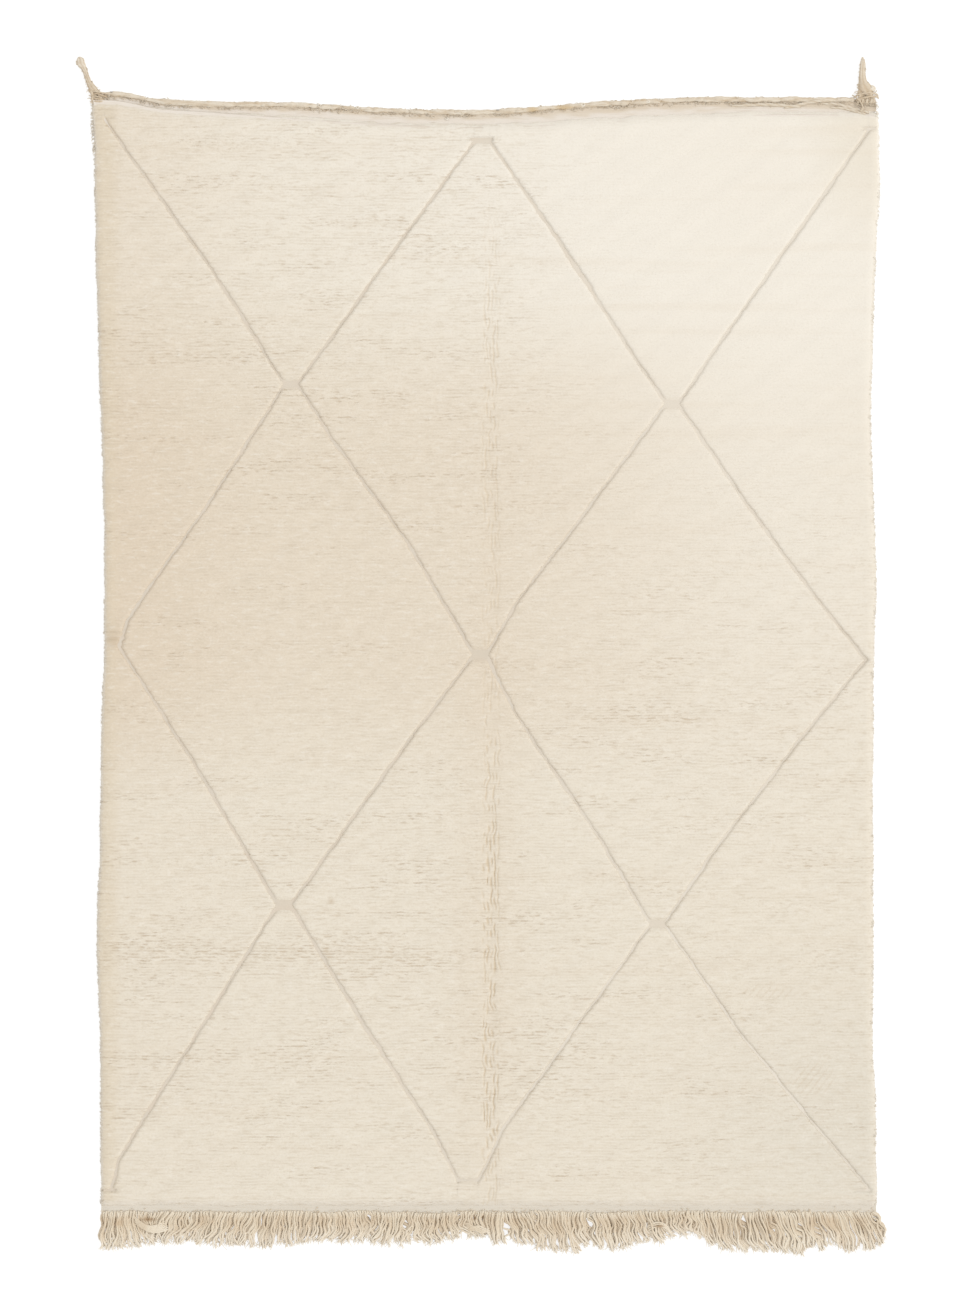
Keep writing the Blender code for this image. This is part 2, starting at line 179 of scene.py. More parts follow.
# Lumps of the pile: wave length along x, wave length along y, height.
LUMPS = ((0.310, 0.190, 0.0006), (-0.170, 0.110, 0.0005), (0.093, -0.071, 0.0004))
# Smaller ones: cell along x, cell along y, height.
SMALL_LUMPS = ((0.045, 0.028, 0.0004), (0.019, 0.009, 0.0003))

# Where the slits open more: y, half height, from x, to x, strength.
ROUGH_BANDS = (
    (-0.768, 0.034, -0.99, -0.12, 0.75),
    (-0.770, 0.022, 0.84, 1.02, 0.60),
    (-0.158, 0.018, 0.20, 0.56, 0.60),
    (0.800, 0.055, -0.99, -0.30, 0.40),
    (-1.080, 0.120, -0.99, 0.40, 0.30),
    (0.640, 0.030, -0.99, -0.80, 0.50),
)

# Crease where the rug was folded along its middle: y, depth of the trough.
CREASE_X = 0.029
CREASE_HALF = 0.034
CREASE_COLUMN = 0.0092
CREASE_DASH = 0.0170
CREASE_SLIT = 0.0022
CREASE = (
    (-1.418, 0.0012), (-1.250, 0.0026), (-0.560, 0.0028), (-0.100, 0.0014),
    (0.450, 0.0015), (0.900, 0.0014), (1.250, 0.0),
)

NOISE_CELLS = 521
SHARP_FROM = 60.0  # degrees between faces


# ---------------------------------------------------------------- curves and noise


def smoothstep(low, high, value):
    """0 below low and 1 above high, eased between by 3t^2 - 2t^3."""
    t = np.clip((value - low) / (high - low), 0.0, 1.0)
    return t * t * (3.0 - 2.0 * t)


def through(table, column, at):
    """Cubic curve through a table's column, with its slopes from the neighbouring rows."""
    knots = np.array([row[0] for row in table])
    values = np.array([row[column] for row in table])
    slopes = np.gradient(values, knots)
    at = np.clip(at, knots[0], knots[-1])
    i = np.clip(np.searchsorted(knots, at) - 1, 0, len(knots) - 2)
    span = knots[i + 1] - knots[i]
    t = (at - knots[i]) / span
    start = (1 + 2 * t) * (1 - t) ** 2 * values[i] + t * (1 - t) ** 2 * span * slopes[i]
    end = t * t * (3 - 2 * t) * values[i + 1] + t * t * (t - 1) * span * slopes[i + 1]
    return start + end


def through_three(table, at):
    """The curves through the three columns after a table's first."""
    return [through(table, column, at) for column in (1, 2, 3)]


def cloudy(x, y, cell_x, cell_y, seed):
    """Soft noise from -1 to 1: random heights on cells of that size, eased between them."""
    table = np.random.default_rng(seed).uniform(-1.0, 1.0, (NOISE_CELLS, NOISE_CELLS))
    u, v = np.broadcast_arrays(x / cell_x, y / cell_y)
    i, j = np.floor(u).astype(int), np.floor(v).astype(int)
    s, t = u - i, v - j
    s, t = s * s * (3 - 2 * s), t * t * (3 - 2 * t)
    i, j = i % NOISE_CELLS, j % NOISE_CELLS
    near = table[j, i] * (1 - s) + table[j, (i + 1) % NOISE_CELLS] * s
    j = (j + 1) % NOISE_CELLS
    far = table[j, i] * (1 - s) + table[j, (i + 1) % NOISE_CELLS] * s
    return near * (1 - t) + far * t


def wander(at, cell, seed):
    """Soft noise from -1 to 1 along one line."""
    return cloudy(at, 0.0 * at, cell, 1.0, seed)


def window(low, high, soft, value):
    """1 between low and high, eased to 0 outside."""
    rising = smoothstep(low - soft, low + soft, value)
    return rising * (1 - smoothstep(high - soft, high + soft, value))


def place_y(x, row):
    """A row is straight across the rug, and bows with the upper end as it nears it."""
    bow = through(HEAD, 2, x) - HEAD_PILE_MID
    return row + bow * smoothstep(HEAD_BOW_FROM, HEAD_PILE_MID, row)


def row_through(x, y):
    """The row that passes through each place, found by halving the span that it lies in."""
    low, high = y - 0.08, y
    for _ in range(20):
        middle = 0.5 * (low + high)
        below = place_y(x, middle) < y
        low, high = np.where(below, middle, low), np.where(below, high, middle)
    return 0.5 * (low + high)


def groove_run(name):
    """The groove's places as rows and x, with more of them where the rows bow."""
    run = LATTICE[name]
    added = np.arange(HEAD_BOW_FROM, run[-1][1], BOW_STEP)
    ys = np.sort(np.concatenate([[y for _, y in run], added]))
    xs = np.interp(ys, [y for _, y in run], [x for x, _ in run])
    return row_through(xs, ys), xs


def groove_x(name, row):
    """Straight between the run's points, with a slow hand-knotted wander."""
    rows, xs = groove_run(name)
    x = np.interp(row, rows, xs)
    for number, (reach, cell) in enumerate(WOBBLE):
        x = x + reach * wander(row, cell, 7 * len(name) + number)
    return x


def groove_depth(name, row):
    """1 where the groove is open and 0 past its ends."""
    rows, _ = groove_run(name)
    opened = smoothstep(rows[0] - GROOVE_END, rows[0], row)
    return opened * (1 - smoothstep(rows[-1], rows[-1] + GROOVE_END, row))


def groove_half(name, row):
    """Half width: a steady part, a slow wander and the stretches that were clipped wider."""
    half = GROOVE_HALF + GROOVE_WANDER * wander(row, 0.055, len(name) + 40)
    for groove, y, reach, more in WIDE_STRETCHES:
        if groove == name:
            half = half + more * np.exp(-(((row - y) / reach) ** 2))
    return half


# ---------------------------------------------------------------- meshes


def put(name, data, place=(0.0, 0.0, 0.0), turn=(0.0, 0.0, 0.0)):
    """An object of the scene at its place, turned by degrees about x, y and z."""
    thing = bpy.data.objects.new(name, data)
    thing.location = place
    thing.rotation_euler = [math.radians(degrees) for degrees in turn]
    bpy.context.scene.collection.objects.link(thing)
    return thing


def add_piece(name, points, faces, material, values):
    """Mesh object from an array of points and a list of face arrays with equal corners each."""
    mesh = bpy.data.meshes.new(name)
    corners = np.concatenate([np.asarray(group).ravel() for group in faces])
    counts = np.concatenate([np.full(len(group), len(group[0])) for group in faces])
    starts = np.concatenate([[0], np.cumsum(counts)[:-1]])
    mesh.vertices.add(len(points))
    mesh.vertices.foreach_set("co", np.asarray(points, np.float32).ravel())
    mesh.loops.add(len(corners))
    mesh.loops.foreach_set("vertex_index", corners.astype(np.int32))
    mesh.polygons.add(len(counts))
    mesh.polygons.foreach_set("loop_start", starts.astype(np.int32))
    mesh.update(calc_edges=True)
    mesh.validate()
    mesh.shade_smooth()
    mesh.set_sharp_from_angle(angle=math.radians(SHARP_FROM))
    for label, numbers in values.items():
        layer = mesh.attributes.new(label, "FLOAT", "POINT")
        layer.data.foreach_set("value", np.asarray(numbers, np.float32).ravel())
    mesh.materials.append(material)
    piece = put(name, mesh)
    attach(piece, "root")
    return piece


def grid_faces(index):
    """Faces of a grid of point numbers: squares, and triangles where two corners are one."""
    a, b = index[:-1, :-1].ravel(), index[:-1, 1:].ravel()
    d, c = index[1:, :-1].ravel(), index[1:, 1:].ravel()
    low_shut, high_shut = a == b, d == c
    square = ~low_shut & ~high_shut
    upper, lower = low_shut & ~high_shut, high_shut & ~low_shut
    squares = np.stack([a, b, c, d], 1)[square]
    triangles = np.concatenate(
        [np.stack([a, c, d], 1)[upper], np.stack([a, b, c], 1)[lower]]
    )
    return [group for group in (squares, triangles) if len(group)]


def tubes(paths, radius, sides, flat=1.0, ply=None, lobe=0.0):
    """Closed tubes along many paths at once.

    paths is strands x stations x 3, radius is strands x stations. A ring's point at an angle
    lies at radius * (1 - lobe + lobe * cos(2 * (angle - ply))) from the path, sideways by its
    cosine and upwards by its sine times flat. Each end closes in a point on the path. Gives
    back points, faces, and for every point its place along the tube, its ply crest and how
    far it faces up.
    """
    strands, stations, _ = paths.shape
    along = np.gradient(paths, axis=1)
    along /= np.linalg.norm(along, axis=2, keepdims=True)
    side = np.cross([0.0, 0.0, 1.0], along)
    side /= np.maximum(np.linalg.norm(side, axis=2, keepdims=True), 1e-9)
    up = np.cross(along, side)
    angle = 2 * math.pi * np.arange(sides) / sides
    turn = np.zeros((strands, stations)) if ply is None else ply
    crest = np.cos(2 * (angle[None, None] - turn[..., None]))
    reach = radius[..., None] * (1 - lobe + lobe * crest)
    rings = paths[:, :, None] + reach[..., None] * (
        np.cos(angle)[None, None, :, None] * side[:, :, None]
        + flat * np.sin(angle)[None, None, :, None] * up[:, :, None]
    )
    ends = np.stack([paths[:, 0] - along[:, 0] * 1e-4, paths[:, -1] + along[:, -1] * 3e-4], 1)
    points = np.concatenate([rings.reshape(-1, 3), ends.reshape(-1, 3)])
    number = np.arange(strands * stations * sides).reshape(strands, stations, sides)
    after = np.roll(number, -1, axis=2)
    squares = np.stack([number[:, :-1], after[:, :-1], after[:, 1:], number[:, 1:]], -1)
    first = strands * stations * sides + 2 * np.arange(strands)[:, None] + np.zeros(sides, int)
    start = np.stack([first, after[:, 0], number[:, 0]], -1)
    finish = np.stack([first + 1, number[:, -1], after[:, -1]], -1)
    share = np.broadcast_to(np.linspace(0, 1, stations)[None, :, None], number.shape)
    rise = np.broadcast_to(np.sin(angle)[None, None], number.shape)
    faces = [squares.reshape(-1, 4), np.concatenate([start, finish]).reshape(-1, 3)]
    values = {
        "along": np.concatenate([share.ravel(), np.tile([0.0, 1.0], strands)]),
        "crest": np.concatenate([crest.ravel(), np.zeros(2 * strands)]),
        "upper": np.concatenate([rise.ravel(), np.full(2 * strands, 0.5)]),
    }
    return points, faces, values


def each_point(numbers, stations, sides):
    """One number a tube, for every point of the tubes."""
    return np.concatenate([np.repeat(numbers, stations * sides), np.repeat(numbers, 2)])


def merge(parts):
    """Joins (points, faces, values) parts into one set of arrays."""
    points = np.concatenate([part[0] for part in parts])
    shifts = np.cumsum([0] + [len(part[0]) for part in parts[:-1]])
    faces = []
    for corners in (3, 4):
        groups = [
            group + shift
            for part, shift in zip(parts, shifts)
            for group in part[1]
            if group.shape[1] == corners
        ]
        if groups:
            faces.append(np.concatenate(groups))
    labels = parts[0][2]
    values = {label: np.concatenate([part[2][label] for part in parts]) for label in labels}
    return points, faces, values


def toned(part, tone, along=(0.0, 1.0), crest=(0.0, 1.0)):
    """Tubes with their tone. Their along and crest become start + span * what they were."""
    points, faces, values = part
    for label, (start, span) in (("along", along), ("crest", crest)):
        values[label] = start + span * values[label]
    values["tone"] = tone + np.zeros(len(points))
    return points, faces, values


def add_yarns(name, parts, lowest, material):
    """One piece of many tubes, none of which goes lower than that height."""
    points, faces, values = merge(parts)
    points[:, 2] = np.maximum(points[:, 2], lowest)
    return add_piece(name, points, faces, material, values)


# ---------------------------------------------------------------- shading


class Socket:
    """An output in a node tree. Sums and products of it add Math nodes."""

    def __init__(self, tree, output=None):
        self.tree = tree
        self.output = output

    def add(self, kind, settings=None, inputs=None, output=0):
        """Adds a node: its settings first, then the values or links of its sockets."""
        node = self.tree.nodes.new(kind)
        for name, value in (settings or {}).items():
            setattr(node, name, value)
        for name, value in (inputs or {}).items():
            if isinstance(value, Socket):
                self.tree.links.new(value.output, node.inputs[name])
            else:
                node.inputs[name].default_value = value
        return Socket(self.tree, node.outputs[output] if len(node.outputs) else None)

    def maths(self, operation, *values, clamp=False):
        """A Math node on numbers."""
        settings = {"operation": operation, "use_clamp": clamp}
        return self.add("ShaderNodeMath", settings, dict(enumerate(values)))

    def vector(self, operation, *values, output=0):
        """A Vector Math node on places."""
        settings = {"operation": operation}
        return self.add("ShaderNodeVectorMath", settings, dict(enumerate(values)), output)

    def __add__(self, other):
        return self.maths("ADD", self, other)

    def __radd__(self, other):
        return self.maths("ADD", other, self)

    def __sub__(self, other):
        return self.maths("SUBTRACT", self, other)

    def __rsub__(self, other):
        return self.maths("SUBTRACT", other, self)

    def __mul__(self, other):
        return self.maths("MULTIPLY", self, other)

    def __rmul__(self, other):
        return self.maths("MULTIPLY", other, self)

    def held(self):
        """The value, held between 0 and 1."""
        return self.maths("ADD", self, 0.0, clamp=True)

    def wave(self):
        """0 to 1 to 0 for every full turn of the value."""
        return 0.5 - 0.5 * self.maths("COSINE", self)

    def rise(self, low, high):
        """0 below low, 1 above high, eased between."""
        settings = {"interpolation_type": "SMOOTHSTEP"}
        inputs = {"Value": self, "From Min": low, "From Max": high}
        return self.add("ShaderNodeMapRange", settings, inputs)

    def mix(self, factor, first, second):
        """The first colour, turned to the second as the factor goes from 0 to 1."""
        settings = {"data_type": "RGBA"}
        return self.add("ShaderNodeMix", settings, {0: factor, 6: first, 7: second}, 2)

    def coats(self, colour, *over):
        """A colour under coats of other ones, each given as (share, colour)."""
        for share, coat in over:
            colour = self.mix(share, colour, coat)
        return colour

    def place(self):
        """Every point's own place, in metres."""
        return self.add("ShaderNodeTexCoord", {}, {}, "Object")

    def coordinate(self, place, number):
        """x, y or z of a place."""
        return self.add("ShaderNodeSeparateXYZ", {}, {0: place}, number)

    def clouds(self, place, scale, detail=2.0, rough=0.5):
        """Noise with its own scale, per metre, along x, y and z."""
        scaled = self.vector("MULTIPLY", place, scale)
        inputs = {"Vector": scaled, "Scale": 1.0, "Detail": detail, "Roughness": rough}
        return self.add("ShaderNodeTexNoise", {}, inputs)

    def blob(self, place, centre, reach):
        """1 at a centre (x, y), falling to 0 at the reach along x and y."""
        shifted = self.vector("SUBTRACT", place, (*centre, 0.0))
        scaled = self.vector("MULTIPLY", shifted, (1 / reach[0], 1 / reach[1], 0.0))
        far = self.vector("LENGTH", scaled, output="Value")
        return 1.0 - far.rise(0.0, 1.0)

    def value_of(self, label):
        """A value that the mesh carries at its points."""
        return self.add("ShaderNodeAttribute", {"attribute_name": label}, {}, "Fac")


def new_material(name):
    """A material without nodes, and a handle to add them with."""
    material = bpy.data.materials.new(name)
    material.use_nodes = True
    material.node_tree.nodes.clear()
    return material, Socket(material.node_tree)


def finish_wool(nodes, colour, height, strength, distance):
    """Matt wool: the colour, and a bump from the height."""
    bump = {"Strength": strength, "Distance": distance, "Height": height}
    inputs = {
        "Base Color": colour,
        "Roughness": 0.95,
        "Specular IOR Level": 0.15,
        "Sheen Weight": 0.08,
        "Sheen Roughness": 0.5,
        "Normal": nodes.add("ShaderNodeBump", {}, bump),
    }
    shader = nodes.add("ShaderNodeBsdfPrincipled", {}, inputs)
    nodes.add("ShaderNodeOutputMaterial", {}, {"Surface": shader})


# Linear colours.
PALE_CREAM = (0.700, 0.657, 0.583, 1.0)
MID_CREAM = (0.650, 0.594, 0.500, 1.0)
WARM_CREAM = (0.590, 0.498, 0.387, 1.0)
WARM_EDGE = (0.576, 0.491, 0.365, 1.0)
GREY_CREAM = (0.590, 0.551, 0.473, 1.0)
END_CREAM = (0.631, 0.581, 0.503, 1.0)
SHADE_CREAM = (0.513, 0.441, 0.342, 1.0)
SLIT_SHADE_AND_STAIN = (0.442, 0.336, 0.225, 1.0)
CREASE_SHADE_GOLD = (0.490, 0.372, 0.230, 1.0)
WEAVE_GREY = (0.572, 0.513, 0.432, 1.0)
WEAVE_PINK = (0.582, 0.507, 0.418, 1.0)
CROSSING_SHADE = (0.530, 0.457, 0.362, 1.0)
SHADED_FOOT_BAND = (0.590, 0.540, 0.462, 1.0)
HEAD_BAND = (0.651, 0.594, 0.527, 1.0)
BAND_SHADOW_TAN = (0.546, 0.454, 0.338, 1.0)
CORD_TAN = (0.632, 0.569, 0.472, 1.0)
CORD_PALE = (0.690, 0.644, 0.565, 1.0)
CORD_BROWN = (0.420, 0.303, 0.178, 1.0)
CORD_YELLOW = (0.519, 0.389, 0.222, 1.0)
TIE_TAN = (0.600, 0.525, 0.420, 1.0)
TIE_PALE = (0.680, 0.622, 0.530, 1.0)
WARP_CREAM = (0.670, 0.595, 0.474, 1.0)
WARP_TIP = (0.745, 0.688, 0.588, 1.0)
WARP_BROWN = (0.512, 0.390, 0.260, 1.0)
WARP_SHADOW = (0.290, 0.180, 0.090, 1.0)
SPECK_DARK = (0.080, 0.070, 0.070, 1.0)

# Where the flat bands fade into the ground of the field, along y.
FOOT_BAND_FADE = (-1.418, -1.405)
HEAD_BAND_FADE = (1.360, 1.380)
CROSSING_REACH = 0.036
RUFFLE_PITCH = 0.019
# Grooves cross on sunken bare ground, which has painted shade there: x, y, strength.
SHADED_CROSSINGS = (
    (0.495, 0.653, 0.16), (0.000, 0.005, 0.50), (0.458, -0.689, 0.42),
    (-0.506, -0.640, 0.32),
)
# Stains in the pile: x, y, reach, strength.
STAINS = ((-0.384, -0.630, 0.013, 0.45), (-0.942, 0.045, 0.034, 0.45))
# Marks on the cord: x, y, reach along x, along y, colour.
CORD_MARKS = (
    (-0.952, 1.460, 0.006, 0.005, SPECK_DARK),
    (0.046, 1.414, 0.006, 0.005, SPECK_DARK),
    (0.136, 1.414, 0.024, 0.012, CORD_YELLOW),
    (0.214, 1.418, 0.036, 0.012, CORD_YELLOW),
)
# Dark hollows between the warp ends: x, y, reach along x, along y, colour.
WARP_MARKS = (
    (-0.855, -1.4520, 0.030, 0.0080, WARP_SHADOW),
    (-0.014, -1.4490, 0.009, 0.0090, WARP_SHADOW),
    (0.007, -1.4470, 0.007, 0.0080, WARP_SHADOW),
    (0.462, -1.4690, 0.020, 0.0060, WARP_SHADOW),
    (-0.935, -1.4600, 0.022, 0.0200, WARP_BROWN),
)
# Pile that was ruffled aslant, with painted shade in slanting lines: x, y, reach along x, along y.
RUFFLES = ((0.748, -0.865, 0.105, 0.026), (0.858, -1.090, 0.085, 0.062))


def pile_wool():
    """Clipped cream wool: drifting tones under a painted pool of light, rows with short slits, tufts
    and fine fibres, with painted highlights and shade on its relief.
    """
    material, nodes = new_material("pile_wool")
    place = nodes.place()
    x, y = nodes.coordinate(place, 0), nodes.coordinate(place, 1)
    drift = nodes.clouds(place, (1.9, 2.6, 0.0), 3.0)
    # Painted light: a broad pool of light, paler towards the upper right and the upper end, less so
    # at the very corner.
    pale = nodes.blob(place, (0.80, 0.95), (1.45, 1.75)) + 0.25 * (drift - 0.5)
    pale = 0.85 * pale + 0.50 * y.rise(0.55, 1.30)
    pale = pale - x.rise(0.72, 1.02) * y.rise(0.95, 1.30)
    middle = y.rise(-0.40, 0.00) * (1.0 - y.rise(0.50, 1.00))
    left = (1.0 - x.rise(-1.00, -0.45)) * (0.25 + 0.75 * y.rise(-0.50, -0.05))
    warm = 0.50 * middle * (1.0 - 0.85 * x.rise(0.00, 0.85)) + 0.45 * left
    warm = warm + 0.30 * nodes.blob(place, (CREASE_X - 0.012, -0.72), (0.17, 1.30))
    bands = nodes.clouds(place, (0.9, 24.0, 0.0), 3.0)
    fading = nodes.value_of("end") + 0.55 * (nodes.clouds(place, (30.0, 50.0, 0.0), 3.0) - 0.5)
    end_colour = nodes.mix(y.rise(1.00, 1.20) * x.rise(-1.00, -0.30), END_CREAM, PALE_CREAM)
    colour = nodes.coats(
        nodes.mix(pale.held(), MID_CREAM, PALE_CREAM),
        ((warm + 0.20 * (drift - 0.5)).held(), WARM_CREAM),
        (0.60 * nodes.blob(place, (1.0, -1.2), (0.70, 0.60)), GREY_CREAM),
        (0.14 * bands.rise(0.50, 0.72), WARM_CREAM),
        (0.55 * (1.0 - x.rise(-0.965, -0.915)), WARM_EDGE),
        (0.85 * fading.rise(0.15, 0.90), end_colour),
    )

    rough = nodes.value_of("rough")
    sway = nodes.clouds(place, (9.0, 14.0, 0.0), 3.0)
    rows = ((2 * math.pi / KNOT_PITCH) * y + 14.0 * sway).wave()
    streaks = nodes.clouds(place, (3.0, 20.0, 0.0), 4.0, 0.6)
    dashes = nodes.clouds(place, (42.0, 140.0, 0.0), 3.0, 0.6) + 0.07 * rough
    often = (0.08 + streaks.rise(0.46, 0.68) + 0.9 * rough).held()
    open_pile = 1.0 - 0.80 * x.rise(-0.10, 0.60) * y.rise(-0.20, 0.80)
    open_pile = open_pile * (1.0 - 0.60 * x.rise(0.02, 0.25) * y.rise(0.45, 0.90))
    slits = (0.25 + 0.75 * rows) * dashes.rise(0.48, 0.70) * often * open_pile
    ridges = nodes.clouds(place, (34.0, 125.0, 0.0), 3.0, 0.6)
    tufts = nodes.clouds(place, (150.0, 190.0, 0.0), 2.0, 0.6)
    fibres = nodes.clouds(place, (420.0, 520.0, 300.0), 2.0, 0.6)
    lines = rows * nodes.clouds(place, (11.0, 46.0, 0.0), 3.0, 0.6).rise(0.40, 0.66) * open_pile
    tufted = 0.45 + 0.55 * open_pile
    # Painted highlights on the high ridges and tufts, and painted shade in their hollows, along the
    # knot rows, in the slits and in the crease's slits.
    colour = nodes.coats(
        colour,
        (0.42 * open_pile * ridges.rise(0.52, 0.70), PALE_CREAM),
        (0.38 * open_pile * (1.0 - ridges.rise(0.32, 0.48)), SHADE_CREAM),
        (0.30 * tufted * tufts.rise(0.52, 0.72), PALE_CREAM),
        (0.24 * tufted * (1.0 - tufts.rise(0.30, 0.48)), SHADE_CREAM),
        (0.32 * lines, SHADE_CREAM),
        (0.62 * slits, SLIT_SHADE_AND_STAIN),
        (0.62 * nodes.value_of("crease"), CREASE_SHADE_GOLD),
    )
    # Painted shade in the slanting partings of the ruffled pile.
    slant = (2 * math.pi / RUFFLE_PITCH) * (x - 0.75 * y) + 5.0 * sway
    slant = slant.wave().rise(0.55, 0.95)
    for centre_x, centre_y, reach_x, reach_y in RUFFLES:
        patch = nodes.blob(place, (centre_x, centre_y), (reach_x, reach_y)).rise(0.0, 0.5)
        colour = nodes.mix(0.26 * patch * slant * tufts.rise(0.42, 0.55), colour, SLIT_SHADE_AND_STAIN)
    for spot_x, spot_y, reach, strength in STAINS:
        spot = nodes.blob(place, (spot_x, spot_y), (reach, reach))
        colour = nodes.mix(strength * spot, colour, SLIT_SHADE_AND_STAIN)
    colour = nodes.mix(0.12 * fibres.rise(0.35, 0.70), colour, WARM_CREAM)
    height = 0.45 * ridges + 0.50 * tufts + 0.20 * fibres - 0.65 * slits - 0.08 * rows
    finish_wool(nodes, colour, height, 0.60, 0.0030)
    return material


def woven_ground():
    """Flat weave: grey-beige weft ribs across warps, mottled, streaked brown at both ends, with
    painted light, painted shade at the crossings and foot, and the cord's painted shadow.
    """
    material, nodes = new_material("woven_ground")
    place = nodes.place()
    y = nodes.coordinate(place, 1)
    mottle = nodes.clouds(place, (16.0, 30.0, 0.0), 3.0)
    ribs = nodes.clouds(place, (60.0, 420.0, 0.0), 1.0)
    warps = nodes.clouds(place, (260.0, 60.0, 0.0), 1.0)
    streaks = nodes.clouds(place, (14.0, 190.0, 0.0), 2.0)
    foot_band = 1.0 - y.rise(*FOOT_BAND_FADE)
    head_band = y.rise(*HEAD_BAND_FADE)
    colour = nodes.coats(
        nodes.mix(mottle.rise(0.35, 0.70), WEAVE_GREY, WEAVE_PINK),
        # Painted light: paler over the upper right, and over the lower right, where it lifts the
        # shade in the grooves.
        (0.55 * nodes.blob(place, (0.80, 0.95), (1.20, 1.60)), PALE_CREAM),
        (0.62 * nodes.blob(place, (0.75, -1.00), (1.50, 1.30)), PALE_CREAM),
    )
    # Painted shade on the sunken ground where the grooves cross.
    for crossing_x, crossing_y, strength in SHADED_CROSSINGS:
        spot = nodes.blob(place, (crossing_x, crossing_y), (CROSSING_REACH, CROSSING_REACH))
        colour = nodes.mix(strength * spot.rise(0.0, 0.5), colour, CROSSING_SHADE)
    colour = nodes.coats(
        colour,
        # The foot band's own colour, greyer than the head band with painted shade.
        (foot_band, SHADED_FOOT_BAND),
        (head_band, HEAD_BAND),
        (0.25 * ribs.rise(0.45, 0.75), CORD_TAN),
        # Painted shadow of the cord on the cloth, and tan at the two upper corners.
        (0.70 * nodes.value_of("shadow_and_tan"), BAND_SHADOW_TAN),
        (0.16 * (foot_band + head_band) * streaks.rise(0.52, 0.70), CORD_BROWN),
    )
    finish_wool(nodes, colour, 0.6 * ribs + 0.4 * warps, 0.5, 0.0015)
    return material


def plied_wool(name, body, tip, shade, dark, streaked, rooted, marks=()):
    """Plied yarn: painted shade between the plies and on its lower flanks, lighter frayed ends.

    dark, streaked and rooted are how much painted shade lies between the plies, how much brown
    lies in streaks, and how much painted shade lies near the root.
    """
    material, nodes = new_material(name)
    place = nodes.place()
    along = nodes.value_of("along")
    valley = 1.0 - nodes.value_of("crest").rise(-1.0, 0.3)
    flank = 1.0 - nodes.value_of("upper").rise(-0.5, 0.7)
    fibres = nodes.clouds(place, (500.0, 300.0, 400.0), 2.0, 0.6)
    patches = nodes.clouds(place, (22.0, 30.0, 10.0), 2.0)
    streaks = nodes.clouds(place, (42.0, 330.0, 0.0), 3.0, 0.6)
    root = rooted * along.rise(0.02, 0.20) * (1.0 - along.rise(0.30, 0.95))
    root_shade_patches = nodes.clouds(place, (26.0, 9.0, 0.0), 3.0).rise(0.38, 0.64)
    # Painted shade between the plies, on the lower flanks and in patches near the root. A low tone
    # turns towards the shade colour: tone that differs at random on the cord and ties, painted shade
    # on the lower fringe layers.
    colour = nodes.coats(
        body,
        (0.85 * along.rise(0.35, 1.0), tip),
        (0.55 * (1.0 - nodes.value_of("tone")), shade),
        (dark * valley, shade),
        (0.20 * flank, shade),
        ((0.06 + 0.42 * root_shade_patches) * root, shade),
        (0.35 * rooted * (1.0 - along.rise(0.02, 0.22)), tip),
        (0.35 * patches.rise(0.50, 0.75), body),
        (0.25 * fibres.rise(0.50, 0.80), shade),
        (streaked * streaks.rise(0.50, 0.66), shade),
    )
    # Specks, stains and a browner patch, and painted shadow in the hollows between the warp ends.
    for x, y, reach_x, reach_y, stain_and_shadow in marks:
        spot = nodes.blob(place, (x, y), (reach_x, reach_y))
        colour = nodes.mix(0.8 * spot, colour, stain_and_shadow)
    finish_wool(nodes, colour, fibres, 0.5, 0.0012)
    return material


def pale_floor():
    """A white floor: pale and matt, and lit from within, so that little shadow shows."""
    material, nodes = new_material("pale_floor")
    inputs = {
        "Base Color": (0.30, 0.30, 0.30, 1.0),
        "Roughness": 0.9,
        "Emission Color": (1.0, 1.0, 1.0, 1.0),
        "Emission Strength": 0.72,
    }
    shader = nodes.add("ShaderNodeBsdfPrincipled", {}, inputs)
    nodes.add("ShaderNodeOutputMaterial", {}, {"Surface": shader})
    return material


# ---------------------------------------------------------------- the pile


def rough_share(x, y):
    """How far the slits open: more in a few bands, less in the smooth upper right part."""
    rough = 0.18 * cloudy(x, y, 0.42, 0.23, 22)
    rough = rough - 0.5 * smoothstep(0.1, 1.2, x) * smoothstep(-0.1, 1.2, y)
    for middle, half, low, high, strength in ROUGH_BANDS:
        band = np.exp(-(((y - middle) / half) ** 2))
        rough = rough + strength * window(low, high, 0.06, x) * band
    return rough


def crease_relief(x, y):
    """Trough of the fold, with fine upright slits that part and meet like plaiting.

    The slits lie where a cosine across the fold, bent by noise, is high. A random profile
    along each of them opens and shuts it.
    """
    depth = through(CREASE, 1, y)
    strength = np.clip(depth / max(row[1] for row in CREASE), 0.0, 1.0)
    aside = x - CREASE_X - 0.004 * cloudy(y, 0.0 * y, 0.09, 1.0, 31)
    trough = -0.5 * depth * np.exp(-((2.0 * aside / CREASE_HALF) ** 2))
    sway = 0.55 * cloudy(x, y, 0.030, 0.026, 33) + 0.25 * cloudy(x, y, 0.012, 0.014, 36)
    column = aside / CREASE_COLUMN + sway
    line = (0.5 + 0.5 * np.cos(2 * math.pi * column)) ** 2
    along = cloudy(np.round(column), y, 1.0, CREASE_DASH, 34) + 0.4 * cloudy(x, y, 0.06, 0.08, 32)
    near = 1 - smoothstep(1.5, 3.1, np.abs(aside) / CREASE_COLUMN)
    slit = strength * line * smoothstep(-0.55, 0.45, along) * near
    return trough - CREASE_SLIT * slit, slit


